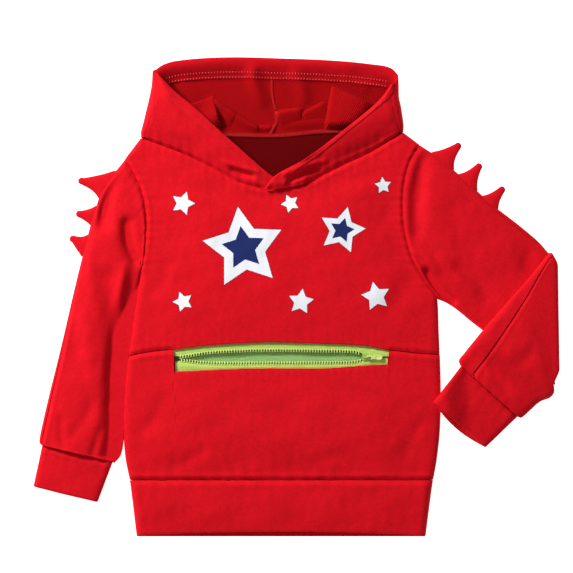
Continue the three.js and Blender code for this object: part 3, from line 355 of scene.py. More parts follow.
def cut_size(piece, rows):
    """The size of the flat cut: the widest row, the longest column and the area, measured on the cloth."""
    mesh = piece.data
    area = sum(face.area for face in mesh.polygons)
    points = np.empty(len(mesh.vertices) * 3)
    mesh.vertices.foreach_get("co", points)
    lattice = points.reshape(rows + 1, -1, 3)
    width = np.linalg.norm(np.diff(lattice, axis=1), axis=2).sum(1).max()
    length = np.linalg.norm(np.diff(lattice, axis=0), axis=2).sum(0).max()
    return width, length, area


def cloth(
    name, across, along, place, materials, node, up=(0.5, 0.5, 1), wall=CLOTH, rows_turn=None
):
    """A cloth shell in place of a CAD node, with its wall and rounded edges; the size of the cut it came from is
    measured.
    """
    piece = surface(name, across, along, place, materials, up, rows_turn)
    width, length, area = cut_size(piece, along)
    add_wall(piece, wall)
    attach(piece, "garment")
    if node:
        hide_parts(node)
    return piece


def add_wall(piece, wall, rounded=0.3):
    solid = piece.modifiers.new("wall", "SOLIDIFY")
    solid.thickness = wall / 1000
    solid.offset = -1
    solid.material_offset = 1 if len(piece.data.materials) > 1 else 0
    solid.use_rim = True
    bevel = piece.modifiers.new("edges", "BEVEL")
    bevel.width = rounded * wall / 1000
    bevel.segments = 2
    bevel.limit_method = "ANGLE"
    bevel.angle_limit = math.radians(50)


# Materials
def rgb(red, green, blue):
    """A linear colour from the 0 to 255 values seen on a screen."""
    return tuple(((value / 255 + 0.055) / 1.055) ** 2.4 for value in (red, green, blue)) + (1,)


def node(tree, kind, inputs=(), **settings):
    made = tree.nodes.new(kind)
    for name, value in settings.items():
        setattr(made, name, value)
    for name, value in dict(inputs).items():
        socket = made.inputs[name]
        if isinstance(value, bpy.types.NodeSocket):
            tree.links.new(value, socket)
        else:
            socket.default_value = value
    return made


def maths(tree, operation, a, b=0.0):
    return node(tree, "ShaderNodeMath", {0: a, 1: b}, operation=operation).outputs[0]


def group(name, inputs, outputs):
    """An empty node group with its sockets; returns the tree, its input node and its output node."""
    tree = bpy.data.node_groups.new(name, "ShaderNodeTree")
    for socket, (kind, value) in inputs.items():
        made = tree.interface.new_socket(socket, in_out="INPUT", socket_type="NodeSocket" + kind)
        if value is not None:
            made.default_value = value
    for socket, kind in outputs.items():
        tree.interface.new_socket(socket, in_out="OUTPUT", socket_type="NodeSocket" + kind)
    return tree, tree.nodes.new("NodeGroupInput"), tree.nodes.new("NodeGroupOutput")


def noise(tree, place, scale, detail=2.0, roughness=0.5, distortion=0.0):
    settings = {"Vector": place, "Scale": scale, "Detail": detail, "Roughness": roughness, "Distortion": distortion}
    return node(tree, "ShaderNodeTexNoise", settings).outputs["Fac"]


def blend_colour(tree, factor, a, b, kind="MIX"):
    made = node(tree, "ShaderNodeMix", {"Factor": factor}, data_type="RGBA", blend_type=kind)
    for socket, value in ((made.inputs[6], a), (made.inputs[7], b)):
        if isinstance(value, bpy.types.NodeSocket):
            tree.links.new(value, socket)
        else:
            socket.default_value = value
    return made.outputs[2]


def make_nap():
    """Brushed knit: soft mottling, short fibres that lie one way, and faint wales."""
    tree, given, made = group(
        "brushed_knit",
        {
            "Place": ("Vector", None), "Shade": ("Color", (0.3, 0, 0, 1)), "Base": ("Color", (0.6, 0, 0, 1)),
            "Light": ("Color", (0.8, 0.1, 0.1, 1)), "Wale": ("Float", 1.3),
        },
        {"Color": "Color", "Height": "Float", "Nap": "Float"},
    )
    place = given.outputs["Place"]
    cloud = noise(tree, place, 16.0, 3.0, 0.55)
    heather = noise(tree, place, 240.0, 5.0, 0.62)
    laid = node(tree, "ShaderNodeMapping", {"Vector": place, "Scale": (1.0, 0.42, 1.0)}).outputs[0]
    fibre = noise(tree, laid, 1500.0, 4.0, 0.7, 0.6)
    wale = node(
        tree, "ShaderNodeTexWave",
        {"Vector": place, "Scale": 120.0, "Distortion": 1.2, "Detail": 2.0, "Detail Scale": 1.5},
        wave_type="BANDS", bands_direction="X",
    ).outputs["Fac"]
    mottle = maths(tree, "ADD", maths(tree, "MULTIPLY", cloud, 0.16), maths(tree, "MULTIPLY", heather, 0.84))
    spread_out = node(
        tree, "ShaderNodeMapRange", {"Value": mottle, "From Min": 0.25, "From Max": 0.7}
    ).outputs["Result"]
    dark = blend_colour(tree, spread_out, given.outputs["Shade"], given.outputs["Base"])
    tips = node(tree, "ShaderNodeMapRange", {"Value": fibre, "From Min": 0.52, "From Max": 0.78}).outputs["Result"]
    lit = blend_colour(tree, maths(tree, "MULTIPLY", tips, 0.3), dark, given.outputs["Light"])
    height = maths(
        tree, "ADD",
        maths(tree, "MULTIPLY", fibre, 0.6),
        maths(tree, "ADD", maths(tree, "MULTIPLY", heather, 0.5),
              maths(tree, "MULTIPLY", wale, maths(tree, "MULTIPLY", given.outputs["Wale"], 0.08))),
    )
    tree.links.new(lit, made.inputs["Color"])
    tree.links.new(height, made.inputs["Height"])
    tree.links.new(tips, made.inputs["Nap"])
    return tree


def make_rows():
    """Rows of loops or yarns across a UV map in millimetres, crossed by finer columns."""
    tree, given, made = group(
        "yarn_rows",
        {
            "Place": ("Vector", None), "Pitch": ("Float", 1.6), "Cross": ("Float", 1.2),
            "Wander": ("Float", 0.3), "Dark": ("Color", (0.1, 0, 0, 1)), "Light": ("Color", (0.5, 0, 0, 1)),
        },
        {"Color": "Color", "Height": "Float"},
    )
    wobble = noise(tree, given.outputs["Place"], 0.16, 3.0)
    shift = maths(tree, "MULTIPLY", maths(tree, "SUBTRACT", wobble, 0.5), given.outputs["Wander"])
    parts = node(tree, "ShaderNodeSeparateXYZ", {0: given.outputs["Place"]}).outputs

    def raised(value, pitch, offset):
        turned = maths(tree, "MULTIPLY", maths(tree, "DIVIDE", maths(tree, "ADD", value, offset), pitch), 2 * math.pi)
        return maths(tree, "ADD", maths(tree, "MULTIPLY", maths(tree, "SINE", turned), 0.5), 0.5)

    row = raised(parts[1], given.outputs["Pitch"], maths(tree, "MULTIPLY", shift, 8.0))
    column = raised(parts[0], given.outputs["Cross"], maths(tree, "MULTIPLY", shift, 4.0))
    speck = noise(tree, given.outputs["Place"], 1.1, 3.0, 0.6)
    loops = maths(tree, "MULTIPLY", row, maths(tree, "ADD", maths(tree, "MULTIPLY", column, 0.5), 0.5))
    height = maths(tree, "ADD", loops, maths(tree, "MULTIPLY", speck, 0.5))
    tone = maths(tree, "ADD", maths(tree, "MULTIPLY", loops, 0.65), maths(tree, "MULTIPLY", speck, 0.35))
    tree.links.new(blend_colour(tree, tone, given.outputs["Dark"], given.outputs["Light"]), made.inputs["Color"])
    tree.links.new(height, made.inputs["Height"])
    return tree


NAP = make_nap()
ROWS = make_rows()


def new_material(name, roughness, sheen=0.0, tint=(1, 1, 1, 1), specular=0.3):
    """A Principled material; returns it, its tree and its shader."""
    material = bpy.data.materials.new(name)
    material.use_nodes = True
    shader = material.node_tree.nodes["Principled BSDF"]
    shader.inputs["Roughness"].default_value = roughness
    shader.inputs["Sheen Weight"].default_value = sheen
    shader.inputs["Sheen Roughness"].default_value = 0.45
    shader.inputs["Sheen Tint"].default_value = tint
    shader.inputs["Specular IOR Level"].default_value = specular
    return material, material.node_tree, shader


def bump(tree, shader, height, distance, strength=1.0):
    made = node(tree, "ShaderNodeBump", {"Height": height, "Distance": distance, "Strength": strength})
    tree.links.new(made.outputs[0], shader.inputs["Normal"])


def place_of(tree, kind="Object"):
    return tree.nodes.new("ShaderNodeTexCoord").outputs[kind]


def brushed(name, shade, base, light, distance=0.00022):
    material, tree, shader = new_material(name, 0.9, sheen=0.2, tint=rgb(255, 76, 92), specular=0.14)
    knit = node(tree, "ShaderNodeGroup", node_tree=NAP)
    tree.links.new(place_of(tree), knit.inputs["Place"])
    for socket, colour in (("Shade", shade), ("Base", base), ("Light", light)):
        knit.inputs[socket].default_value = rgb(*colour)
    tree.links.new(knit.outputs["Color"], shader.inputs["Base Color"])
    rough = node(tree, "ShaderNodeMapRange", {"Value": knit.outputs["Nap"], "To Min": 0.82, "To Max": 0.96})
    tree.links.new(rough.outputs["Result"], shader.inputs["Roughness"])
    bump(tree, shader, knit.outputs["Height"], distance)
    return material


def rows_of_yarn(name, dark, light, pitch, cross, wander, distance, roughness=0.85, sheen=0.1, specular=0.25):
    material, tree, shader = new_material(name, roughness, sheen=sheen, specular=specular)
    yarn = node(tree, "ShaderNodeGroup", node_tree=ROWS)
    tree.links.new(place_of(tree, "UV"), yarn.inputs["Place"])
    for socket, value in (
        ("Pitch", pitch), ("Cross", cross), ("Wander", wander), ("Dark", rgb(*dark)), ("Light", rgb(*light))
    ):
        yarn.inputs[socket].default_value = value
    tree.links.new(yarn.outputs["Color"], shader.inputs["Base Color"])
    bump(tree, shader, yarn.outputs["Height"], distance)
    return material


# The print: five-pointed stars, white with a dark outline, the larger ones with a navy star inside
STARS = table(
    "x y size turn filled",
    (-44, 322, 47, 8, 1), (66, 342, 27, -14, 1), (-112, 262, 12, 20, 0), (20, 262, 15, -8, 0),
    (104, 268, 17, 12, 0), (8, 372, 11, 24, 0), (-112, 372, 14, -18, 0), (112, 392, 10, 6, 0),
)
STAR_WAIST = 0.52  # the inner corners, as a share of the points' distance from the centre


def make_star():
    """How deep a place lies inside a star: 0 on its edge, 1 at its centre, below 0 outside."""
    tree, given, made = group(
        "printed_star",
        {"Place": ("Vector", None), "Centre": ("Vector", None), "Size": ("Float", 0.03), "Turn": ("Float", 0.0)},
        {"Depth": "Float"},
    )
    away = node(
        tree, "ShaderNodeVectorMath", {0: given.outputs["Place"], 1: given.outputs["Centre"]}, operation="SUBTRACT"
    ).outputs[0]
    parts = node(tree, "ShaderNodeSeparateXYZ", {0: away}).outputs
    flat = node(tree, "ShaderNodeCombineXYZ", {0: parts[0], 1: parts[1]}).outputs[0]
    reach = node(tree, "ShaderNodeVectorMath", {0: flat}, operation="LENGTH").outputs["Value"]
    turned = maths(tree, "ADD", maths(tree, "ARCTAN2", parts[0], parts[1]), given.outputs["Turn"])
    sector = 2 * math.pi / 5
    folded_angle = maths(tree, "PINGPONG", turned, sector / 2)
    along = maths(tree, "MULTIPLY", reach, maths(tree, "COSINE", folded_angle))
    beside = maths(tree, "MULTIPLY", reach, maths(tree, "SINE", folded_angle))
    waist = STAR_WAIST * math.sin(sector / 2), 1 - STAR_WAIST * math.cos(sector / 2)
    slope = math.hypot(*waist)
    normal_along, normal_beside = waist[0] / slope, waist[1] / slope
    out = maths(tree, "ADD", maths(tree, "MULTIPLY", along, normal_along), maths(tree, "MULTIPLY", beside, normal_beside))
    whole = maths(tree, "MULTIPLY", given.outputs["Size"], normal_along)
    tree.links.new(maths(tree, "SUBTRACT", 1.0, maths(tree, "DIVIDE", out, whole)), made.inputs["Depth"])
    return tree


STAR = make_star()


def print_stars(material):
    """Lays the stars over a brushed material's colour and smooths its nap where they are."""
    tree = material.node_tree
    shader = tree.nodes["Principled BSDF"]
    place = place_of(tree)
    printed = {"outline": None, "white": None, "navy": None}
    for x, y, size, turn, filled in zip(*STARS.values()):
        depth = node(tree, "ShaderNodeGroup", {}, node_tree=STAR)
        tree.links.new(place, depth.inputs["Place"])
        depth.inputs["Centre"].default_value = in_frame(x, y, 0)
        depth.inputs["Size"].default_value = size / 1000
        depth.inputs["Turn"].default_value = math.radians(turn)
        rim = 1.2 / size
        for name, start in (("outline", -rim), ("white", 0.0), ("navy", 0.46 if filled else 2.0)):
            inside = node(
                tree, "ShaderNodeMapRange",
                {"Value": depth.outputs["Depth"], "From Min": start, "From Max": start + 0.5 * rim},
            ).outputs["Result"]
            printed[name] = inside if printed[name] is None else maths(tree, "MAXIMUM", printed[name], inside)
    colour = shader.inputs["Base Color"].links[0].from_socket
    for name, (red, green, blue) in (("outline", (96, 10, 24)), ("white", (244, 246, 253)), ("navy", (26, 42, 104))):
        colour = blend_colour(tree, printed[name], colour, rgb(red, green, blue))
    tree.links.new(colour, shader.inputs["Base Color"])
    rough = shader.inputs["Roughness"].links[0].from_socket
    film = node(tree, "ShaderNodeMix", {"Factor": printed["outline"], "A": rough, "B": 0.55}, data_type="FLOAT")
    tree.links.new(film.outputs[0], shader.inputs["Roughness"])
    relief = shader.inputs["Normal"].links[0].from_node
    nap = relief.inputs["Height"].links[0].from_socket
    pressed = node(
        tree, "ShaderNodeMix", {"Factor": maths(tree, "MULTIPLY", printed["outline"], 0.6), "A": nap, "B": 0.9},
        data_type="FLOAT",
    )
    tree.links.new(pressed.outputs[0], relief.inputs["Height"])


def moulded(name, dark, light, roughness, distance=0.00006):
    """Enamel or moulded plastic: nearly even, a little worn and uneven in gloss."""
    material, tree, shader = new_material(name, roughness, specular=0.5)
    place = place_of(tree)
    cloud = noise(tree, place, 160.0, 3.0)
    grain = noise(tree, place, 1400.0, 2.0)
    tree.links.new(blend_colour(tree, cloud, rgb(*dark), rgb(*light)), shader.inputs["Base Color"])
    gloss = node(tree, "ShaderNodeMapRange", {"Value": cloud, "To Min": roughness - 0.1, "To Max": roughness + 0.15})
    tree.links.new(gloss.outputs["Result"], shader.inputs["Roughness"])
    bump(tree, shader, grain, distance, 0.5)
    return material


def thread(name, dark, light):
    """Sewing thread: two plies that catch the light."""
    material, tree, shader = new_material(name, 0.6, sheen=0.2, specular=0.35)
    ply = noise(tree, place_of(tree), 900.0, 3.0, 0.6)
    tree.links.new(blend_colour(tree, ply, rgb(*dark), rgb(*light)), shader.inputs["Base Color"])
    bump(tree, shader, ply, 0.0002)
    return material


RED_CLOTH = brushed("brushed_red", (204, 0, 18), (228, 4, 28), (244, 52, 62))
RED_PRINTED = brushed("brushed_red_printed", (204, 0, 18), (228, 4, 28), (244, 52, 62))
print_stars(RED_PRINTED)
LIME_TAPE = rows_of_yarn("zip_tape_weave", (160, 212, 78), (240, 255, 146), 1.0, 0.8, 0.1, 0.00025, 0.7, 0.05)
GREEN_LINING = rows_of_yarn("pocket_lining_weave", (118, 172, 84), (198, 238, 152), 0.7, 0.6, 0.4, 0.0002, 0.75)
TOOTH = moulded("moulded_teeth", (196, 222, 96), (232, 244, 150), 0.34)
ENAMEL = moulded("lime_enamel", (122, 160, 50), (172, 202, 88), 0.28)
PULL_ENAMEL = moulded("pull_enamel", (196, 222, 104), (232, 246, 160), 0.26)
# Dark green for the strips under the rows of teeth: painted shade in the gaps between the teeth.
TAPE_PAINTED_SHADE = moulded("tape_edge", (34, 66, 22), (58, 96, 34), 0.8)
DARK_END_BLOCK = moulded("dark_end_block", (14, 22, 16), (44, 56, 40), 0.4)
# A darker copy of the looped inside for the back panel's inner side: painted shade for the neck opening under the hood.
LOOPS_PAINTED_SHADE = rows_of_yarn("looped_inside_painted_shade", (72, 0, 2), (136, 2, 8), 1.8, 1.2, 0.4, 0.0004, sheen=0.0, specular=0.04)
RED_THREAD = thread("red_thread", (150, 4, 12), (232, 60, 60))
PALE_THREAD = thread("lighter_red_thread", (214, 50, 50), (255, 150, 138))
RED_LOOPS = rows_of_yarn("looped_inside", (128, 0, 5), (212, 6, 18), 1.8, 1.2, 0.4, 0.0005, sheen=0.02, specular=0.06)


# Body panels
def sides(y):
    return read(BODY_SIDES, "y", "right", y), read(BODY_SIDES, "y", "left", y)


def shoulder_line(x):
    right, left = SHOULDER["right"], SHOULDER["left"]
    on_right = mix(right[3], right[1], (x - right[2]) / (right[0] - right[2]))
    on_left = mix(left[3], left[1], (x - left[2]) / (left[0] - left[2]))
    return np.where(x < 0, on_right, on_left)


def on_shoulder(x):
    return (x < SHOULDER["right"][2]) | (x > SHOULDER["left"][2])


def front_top(x):
    return np.where(on_shoulder(x), shoulder_line(x), read(FRONT_NECK, "x", "y", x))


def back_top(x):
    return np.where(on_shoulder(x), shoulder_line(x), read(BACK_NECK, "x", "y", x))


def front_seam(x):
    return read(FRONT_SEAM, "x", "y", x)


def in_window(x):
    return (x > ZIP_WINDOW["x"][0]) & (x < ZIP_WINDOW["x"][-1])


def beside_armhole(x, y):
    """0 below the armhole, 1 beside it."""
    underarm = np.where(x < 0, UNDERARM["right"], UNDERARM["left"])
    return smooth((y - underarm + 14) / 14)


def front_height(x, y):
    """The upper face of the body's front."""
    low, high = sides(y)
    beside = np.minimum(x - low, high - x)
    armhole = beside_armhole(x, y)
    side_fall = fall(beside, SOFT_EDGE, EDGE - SEAM)
    z = FLAT - side_fall * (1 - armhole) - dip(beside) * armhole
    z = z + pucker(beside, y) * armhole
    z = z - on_shoulder(x) * fall(front_top(x) - y, SOFT_EDGE, EDGE - SEAM)
    crown = 3.0 * smooth(beside / 80) * smooth((y - HEM_SEAM_Y) / 50) * smooth((front_top(x) - y) / 50)
    zip_calm = smooth(np.abs(y - 200) / 70)
    loose = smooth(beside / 25)
    return z + crown * mix(0.2, 1, zip_calm) + (folded(BODY_FOLDS, x, y) + ripple(x, y) * mix(0.3, 1, zip_calm)) * loose


def back_height(x, y):
    """The lower face of the body's back, flat where it rests."""
    low, high = sides(y)
    beside = np.minimum(x - low, high - x)
    z = fall(beside, SOFT_EDGE, EDGE - SEAM) * (1 - beside_armhole(x, y))
    return z + on_shoulder(x) * fall(back_top(x) - y, SOFT_EDGE, EDGE - SEAM)


def body_place(bottom, top, height):
    def place(u, v):
        s = spread(u)
        x, y = np.zeros_like(u), np.zeros_like(u)
        for _ in range(24):
            y = mix(bottom(x), top(x), v)
            low, high = sides(y)
            x = mix(x, mix(low, high, s), 0.6)
        y = mix(bottom(x), top(x), v)
        return x, y, height(x, y)

    return place


def upper_bottom(x):
    return np.where(in_window(x), read(ZIP_WINDOW, "x", "top", x), front_seam(x) + SEAM)


def upper_height(x, y):
    from_seam = y - upper_bottom(x)
    from_neck = front_top(x) - y
    z = front_height(x, y) - dip(from_seam, np.where(in_window(x), 0.2, 1.4)) + pucker(from_seam, x, 0.2)
    return z - (dip(from_neck, 1.2) - pucker(from_neck, x, 0.35)) * ~on_shoulder(x)


WINDOW_COLUMNS = (0.16, 0.84)  # where the window starts and ends across the lower front's grid


def lower_place(u, v):
    """The lower front; its top steps down at the ends of the zip's window."""
    first, last = WINDOW_COLUMNS
    step = 1 / LOWER_COLUMNS
    inside = (u > first + step / 2) & (u < last - step / 2)
    left_x, right_x = ZIP_WINDOW["x"][0], ZIP_WINDOW["x"][-1]
    nick = 0.5
    x, y = np.zeros_like(u), np.zeros_like(u)
    for _ in range(24):
        low, high = sides(y)
        before = mix(low, left_x, spread(np.clip(u / first, 0, 1), 0.2))
        within = mix(left_x + nick, right_x - nick, np.clip((u - first - step) / (last - first - 2 * step), 0, 1))
        after = mix(right_x, high, spread(np.clip((u - last) / (1 - last), 0, 1), 0.2))
        x = np.where(inside, within, np.where(u < 0.5, before, after))
        top = np.where(inside, read(ZIP_WINDOW, "x", "bottom", x), front_seam(x) - SEAM / 2)
        y = mix(HEM_SEAM_Y, top, v)
    from_seam = top - y
    from_hem = y - HEM_SEAM_Y
    z = front_height(x, y) - dip(from_seam, np.where(inside, 0.2, 1.4)) + pucker(from_seam, x, 0.2)
    return x, y, z - dip(from_hem, 1.8) + pucker(from_hem, x, 0.22, 17, 16)


LOWER_COLUMNS = 150
front_upper = cloth(
    "front_upper_cloth", 150, 120, body_place(upper_bottom, front_top, upper_height), (RED_PRINTED, RED_LOOPS),
    "front_upper",
)
front_lower = cloth(
    "front_lower_cloth", LOWER_COLUMNS, 80, lower_place, (RED_CLOTH, RED_LOOPS), "front_lower",
)
# The back's inner side takes the darker copy of the looped inside: painted shade.
back = cloth(
    "back_cloth", 110, 130, body_place(lambda x: 0 * x + HEM_SEAM_Y, back_top, back_height),
    (RED_CLOTH, LOOPS_PAINTED_SHADE), "back", up=(0.5, 0.5, -1), rows_turn=lambda x, y: 42,
)

# Sleeves
def ring(q, width, radius, soft):
    """Round a flattened tube: how far across, how high, and how far from the nearer edge, at a distance q."""
    arc = np.pi * radius / 2
    flat = width - 2 * radius
    way = np.abs(q)
    first = radius * (1 - np.cos(np.clip(way, 0, arc) / radius))
    last = width - radius * (1 - np.cos(np.clip((2 * arc + flat - way) / radius, 0, np.pi / 2)))
    across = np.where(way <= arc, first, np.where(way <= arc + flat, radius + way - arc, last))
    edge = np.minimum(across, width - across)
    rise = np.sqrt(1 - (1 - np.clip(edge / soft, 0, 1)) ** 2)
    return across, np.where(q < 0, -1, 1) * radius * rise, edge


def raised(x, y):
    """What lifts the forearm and its cuff off the table: the upper arm and the body under them."""
    edge_x, edge_y, out_x, out_y = UPPER_ARM_EDGE
    beyond = (x - edge_x) * out_x + (y - edge_y) * out_y
    over_arm = 2 * ELBOW_RADIUS * smooth(1 - beyond / FOREARM_FALL)
    return over_arm + CUFF_CLIMB["height"] * smooth((CUFF_CLIMB["from"] - x) / CUFF_CLIMB["over"])


def armhole(side, t):
    tip_y = SHOULDER[side][1]
    y = mix(tip_y, UNDERARM[side] - ARMHOLE_END[side], t)
    tuck = 0.7  # the sleeve meets the body inside the furrow
    return read(BODY_SIDES, "y", side, y) + (tuck if side == "right" else -tuck), y


def sleeve_place(side, panel):
    """One panel of a sleeve: u from the overarm seam to the underarm, v from the armhole to the cuff."""
    parts = {"right": (1.0, 1.0), "left": (0.46, 0.54)}[side]  # where the upper arm ends and the forearm starts

    def place(u, v):
        upper = RIGHT_SLEEVE if side == "right" else LEFT_UPPER_ARM
        arm_t = np.clip(v / parts[0], 0, 1)
        cut = section(upper, arm_t)
        turn = np.zeros_like(v)
        if side == "left":
            bend_t = np.clip((v - parts[0]) / (parts[1] - parts[0]), 0, 1)
            fore = section(LEFT_FOREARM, np.clip((v - parts[1]) / (1 - parts[1]), 0, 1))
            turn = np.pi * bend_t
            bent = {name: mix(cut[name], LEFT_FOREARM[name][0], bend_t) for name in cut}
            cut = {name: np.where(v > parts[1], fore[name], bent[name]) for name in cut}
        width = np.hypot(cut["underX"] - cut["overX"], cut["underY"] - cut["overY"])
        start = panel * cut["seam"] + 1.5 * SEAM
        end = np.pi * EDGE + width - 2 * EDGE - SEAM
        q = panel * mix(start, end, spread(u, 0.4))
        across, height, edge = ring(q, width, EDGE, SOFT_EDGE)
        t = across / width
        x = mix(cut["overX"], cut["underX"], t)
        y = mix(cut["overY"], cut["underY"], t)
        seam_x, seam_y = armhole(side, t)
        opened = (1 - smooth(arm_t / (0.3 if side == "right" else 0.45))) ** 2
        x = x + opened * (seam_x - mix(upper["overX"][0], upper["underX"][0], t))
        if side == "right":
            x = x + 1.8 * t**12 * smooth(arm_t / 0.03)
        y = y + opened * (seam_y - mix(upper["overY"][0], upper["underY"][0], t))
        upward = np.where(turn < np.pi / 2, q, -q) > 0
        folds = folded(RIGHT_SLEEVE_FOLDS if side == "right" else LEFT_SLEEVE_FOLDS, x, y)
        if side == "left":
            folds = np.where(turn < np.pi / 2, folds, folded(LEFT_FOREARM_FOLDS, x, y))
        from_armhole = arm_t * (330 if side == "right" else 150)
        from_cuff = (1 - v) * (330 if side == "right" else 330)
        from_seam = np.abs(q) - start
        relief = folds * smooth(edge / (14 if side == "right" else 6)) + ripple(x + 40, y) * smooth(edge / 20)
        swell = mix(0.3, 4.4, smooth(arm_t / 0.25)) if side == "right" else mix(1.8, 3.2, smooth(arm_t / 0.3))
        relief = relief + swell * np.sin(np.pi * t) ** 0.8
        if side == "right":
            beside_body = 1 - smooth((width - across - mix(9, 0, arm_t)) / 27)
            relief = relief - 9 * beside_body * smooth((arm_t - 0.08) / 0.25) * smooth((1.02 - arm_t) / 0.1)
        else:
            relief = relief * smooth(np.maximum((parts[0] - v) / 0.07, (v - parts[1]) / 0.17))
        near = smooth(edge / 4)
        relief = relief - near * (dip(from_armhole, 2.4 if side == "right" else 1.5, 3) + dip(from_cuff, 1.8, 3.2) + dip(from_seam, 0.9, 2.2))
        relief = relief + near * (pucker(from_cuff, across, 0.3, 13, 18) + pucker(from_armhole, across, 0.3, 9, 9))
        crease = np.where(upward, relief * (1 - np.sin(turn)), 0)
        bend = ELBOW_RADIUS - height
        over_back = np.where(q > 0, np.minimum(EDGE + height, EDGE + 1.4), 0)
        flat_z = np.maximum(EDGE + height + crease, over_back)
        round_up = -np.sign(np.cos(turn)) * np.sqrt(np.abs(np.cos(turn)))
        turned_z = np.where(
            turn < np.pi - 1e-6, EDGE + ELBOW_RADIUS + bend * round_up, EDGE + raised(x, y) - height + crease
        )
        z = np.where(turn > 0, turned_z, flat_z)
        taper = mix(0.55, 1, smooth(t / 0.1)) * mix(0.4, 1, smooth((1 - t) / 0.12))
        return x + np.where(turn > 0, bend * taper * np.sqrt(np.abs(np.sin(turn))), 0), y, z

    return place


def make_sleeves():
    for side, rows in (("right", 130), ("left", 190)):
        for panel, name, faces_up in ((1, "front", 1), (-1, "back", -1)):
            cloth(
                f"{side}_sleeve_{name}_cloth", 64, rows, sleeve_place(side, panel), (RED_CLOTH, RED_LOOPS),
                f"{side}_sleeve_{name}", up=(0.5, 0.2, faces_up),
            )


CUFF_TUCK = 0.05  # how far a cuff runs into the sleeve's seam, as a share of its length


# Bands: a closed double fold, outside, round the free edge and back inside
def band_course(v):
    """Along a doubled band: how far towards the free edge (0 to 1), past it, and how far in from the outside."""
    out, turn = 0.42, 0.58
    phi = np.clip((v - out) / (turn - out), 0, 1) * np.pi
    t = np.where(v < out, v / out, np.where(v > turn, (1 - v) / (1 - turn), 1.0))
    half = BAND / 2
    return t, half * np.sin(phi), half * (1 - np.cos(phi))


def cuff_place(side):
    band = CUFFS[side]
    over_start, over_end, under_start, under_end = (
        np.array(band[name]) for name in ("over", "endOver", "under", "endUnder")
    )
    away = (over_end - over_start) / np.linalg.norm(over_end - over_start)
    length = np.linalg.norm(over_end - over_start)

    def place(u, v):
        t, past, inset = band_course(v)
        t = t - CUFF_TUCK * (1 - t)
        over = over_start[:, None] + (over_end - over_start)[:, None] * t
        under = under_start[:, None] + (under_end - under_start)[:, None] * t
        width = np.hypot(*(under - over))
        radius = BAND_FLAT / 2 - inset
        inner = width - 2 * inset
        half = np.pi * radius + inner - 2 * radius
        q = (2 * u - 1) * half
        across, height, edge = ring(q, inner, radius, np.maximum(SOFT_EDGE - 2 - inset, 2))
        share = (across + inset) / width
        x, y = over + (under - over) * share
        longer = past + np.where(q < 0, band["gape"] * np.sin(np.pi * share) * t, 0)
        from_seam = np.maximum(t, 0) * length
        soft = smooth(edge / 5) * (q > 0) * (1 - inset / BAND)
        relief = soft * (1.4 * np.sin(np.pi * share) - dip(from_seam, 1.0, 2.6) + pucker(from_seam, across, 0.18, 12, 10))
        relief = relief + soft * ripple(x - 30, y) * 0.8
        lift = raised(x, y) if side == "left" else 0
        z = BAND_FLAT / 2 + height + lift + relief
        return x + away[0] * longer, y + away[1] * longer, z

    return place


def hem_place(u, v):
    t, past, inset = band_course(v)
    along = HEM_SEAM_Y - SEAM - (HEM_SEAM_Y - SEAM) * t
    front = u < 0.5
    s = np.where(front, 2 * u, 2 - 2 * u)
    s = spread(s, 0.5)
    low, high = read(HEM_SIDES, "y", "right", along) + inset, read(HEM_SIDES, "y", "left", along) - inset
    x = mix(low, high, s)
    beside = np.minimum(x - low, high - x)
    middle = np.sqrt(np.clip(np.sin(np.pi * s), 0, 1))
    y = along + np.where(front, HEM_RISE * middle * t, 0) - past
    drop = fall(beside, SOFT_EDGE, EDGE - inset)
    from_seam = HEM_SEAM_Y - along
    soft = smooth(beside / 8) * (1 - inset / BAND)
    relief = soft * (
        1.2 * np.sin(np.pi * np.clip(t, 0, 1)) - dip(from_seam, 1.6, 3) + pucker(from_seam, x, 0.22, 19, 16)
        + ripple(x, y + 60) * 1.2
    )
    return x, y, np.where(front, FLAT - inset - drop + relief, inset + drop)


def closed_band(name, around, along, place, node_name):
    piece = surface(name, around, along, place, (RED_CLOTH,), up=(0.75 if name != "hem_cloth" else 0.25, 0.2, 1))
    width, length, area = cut_size(piece, along)
    mesh = bmesh.new()
    mesh.from_mesh(piece.data)
    bmesh.ops.remove_doubles(mesh, verts=mesh.verts, dist=2e-5)
    mesh.to_mesh(piece.data)
    mesh.free()
    piece.data.shade_smooth()
    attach(piece, "garment")
    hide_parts(node_name)
    return piece


def make_bands():
    closed_band("hem_cloth", 260, 44, hem_place, "hem_band")
    for side in ("right", "left"):
        closed_band(f"{side}_cuff_cloth", 150, 44, cuff_place(side), f"{side}_cuff")


# Hood
def corner_height(corner, x, y):
    """A folded-up corner of the lining side inside the hood."""
    at_x, at_y = corner["at"]

    def inside(end, turn):
        dx, dy = end[0] - at_x, end[1] - at_y
        return turn * ((x - at_x) * dy - (y - at_y) * dx) / math.hypot(dx, dy)

    turn = 1 if corner["back"][0] < at_x else -1
    away = np.hypot(x - at_x, y - at_y)
    fade = smooth((corner["reach"] - away) / 25)
    beside = smooth(inside(corner["side"], turn) / corner["edge"] + 0.5)
    below = smooth(inside(corner["back"], -turn) / corner["edge"] + 0.5)
    tilt = ((x - at_x) * 0.85 - (y - at_y) * 0.5) / corner["rise"]
    return corner["height"] * fade * beside * below * mix(0.15, 1, smooth(tilt + 0.3))


def stepped(steps, x, y):
    """How high the folds lie that overlap along a list of lines."""
    height = 0 * x
    for x0, y0, x1, y1, size, reach in zip(*steps.values()):
        dx, dy = x1 - x0, y1 - y0
        length = math.hypot(dx, dy)
        along = ((x - x0) * dx + (y - y0) * dy) / length
        below = ((x - x0) * dy - (y - y0) * dx) / length
        ends = smooth((along + 5) / 8) * smooth((length - along + 5) / 8)
        height = np.maximum(height, size * smooth(below / 2.4 + 0.5) * (1 - smooth(below / reach)) * ends)
    return height


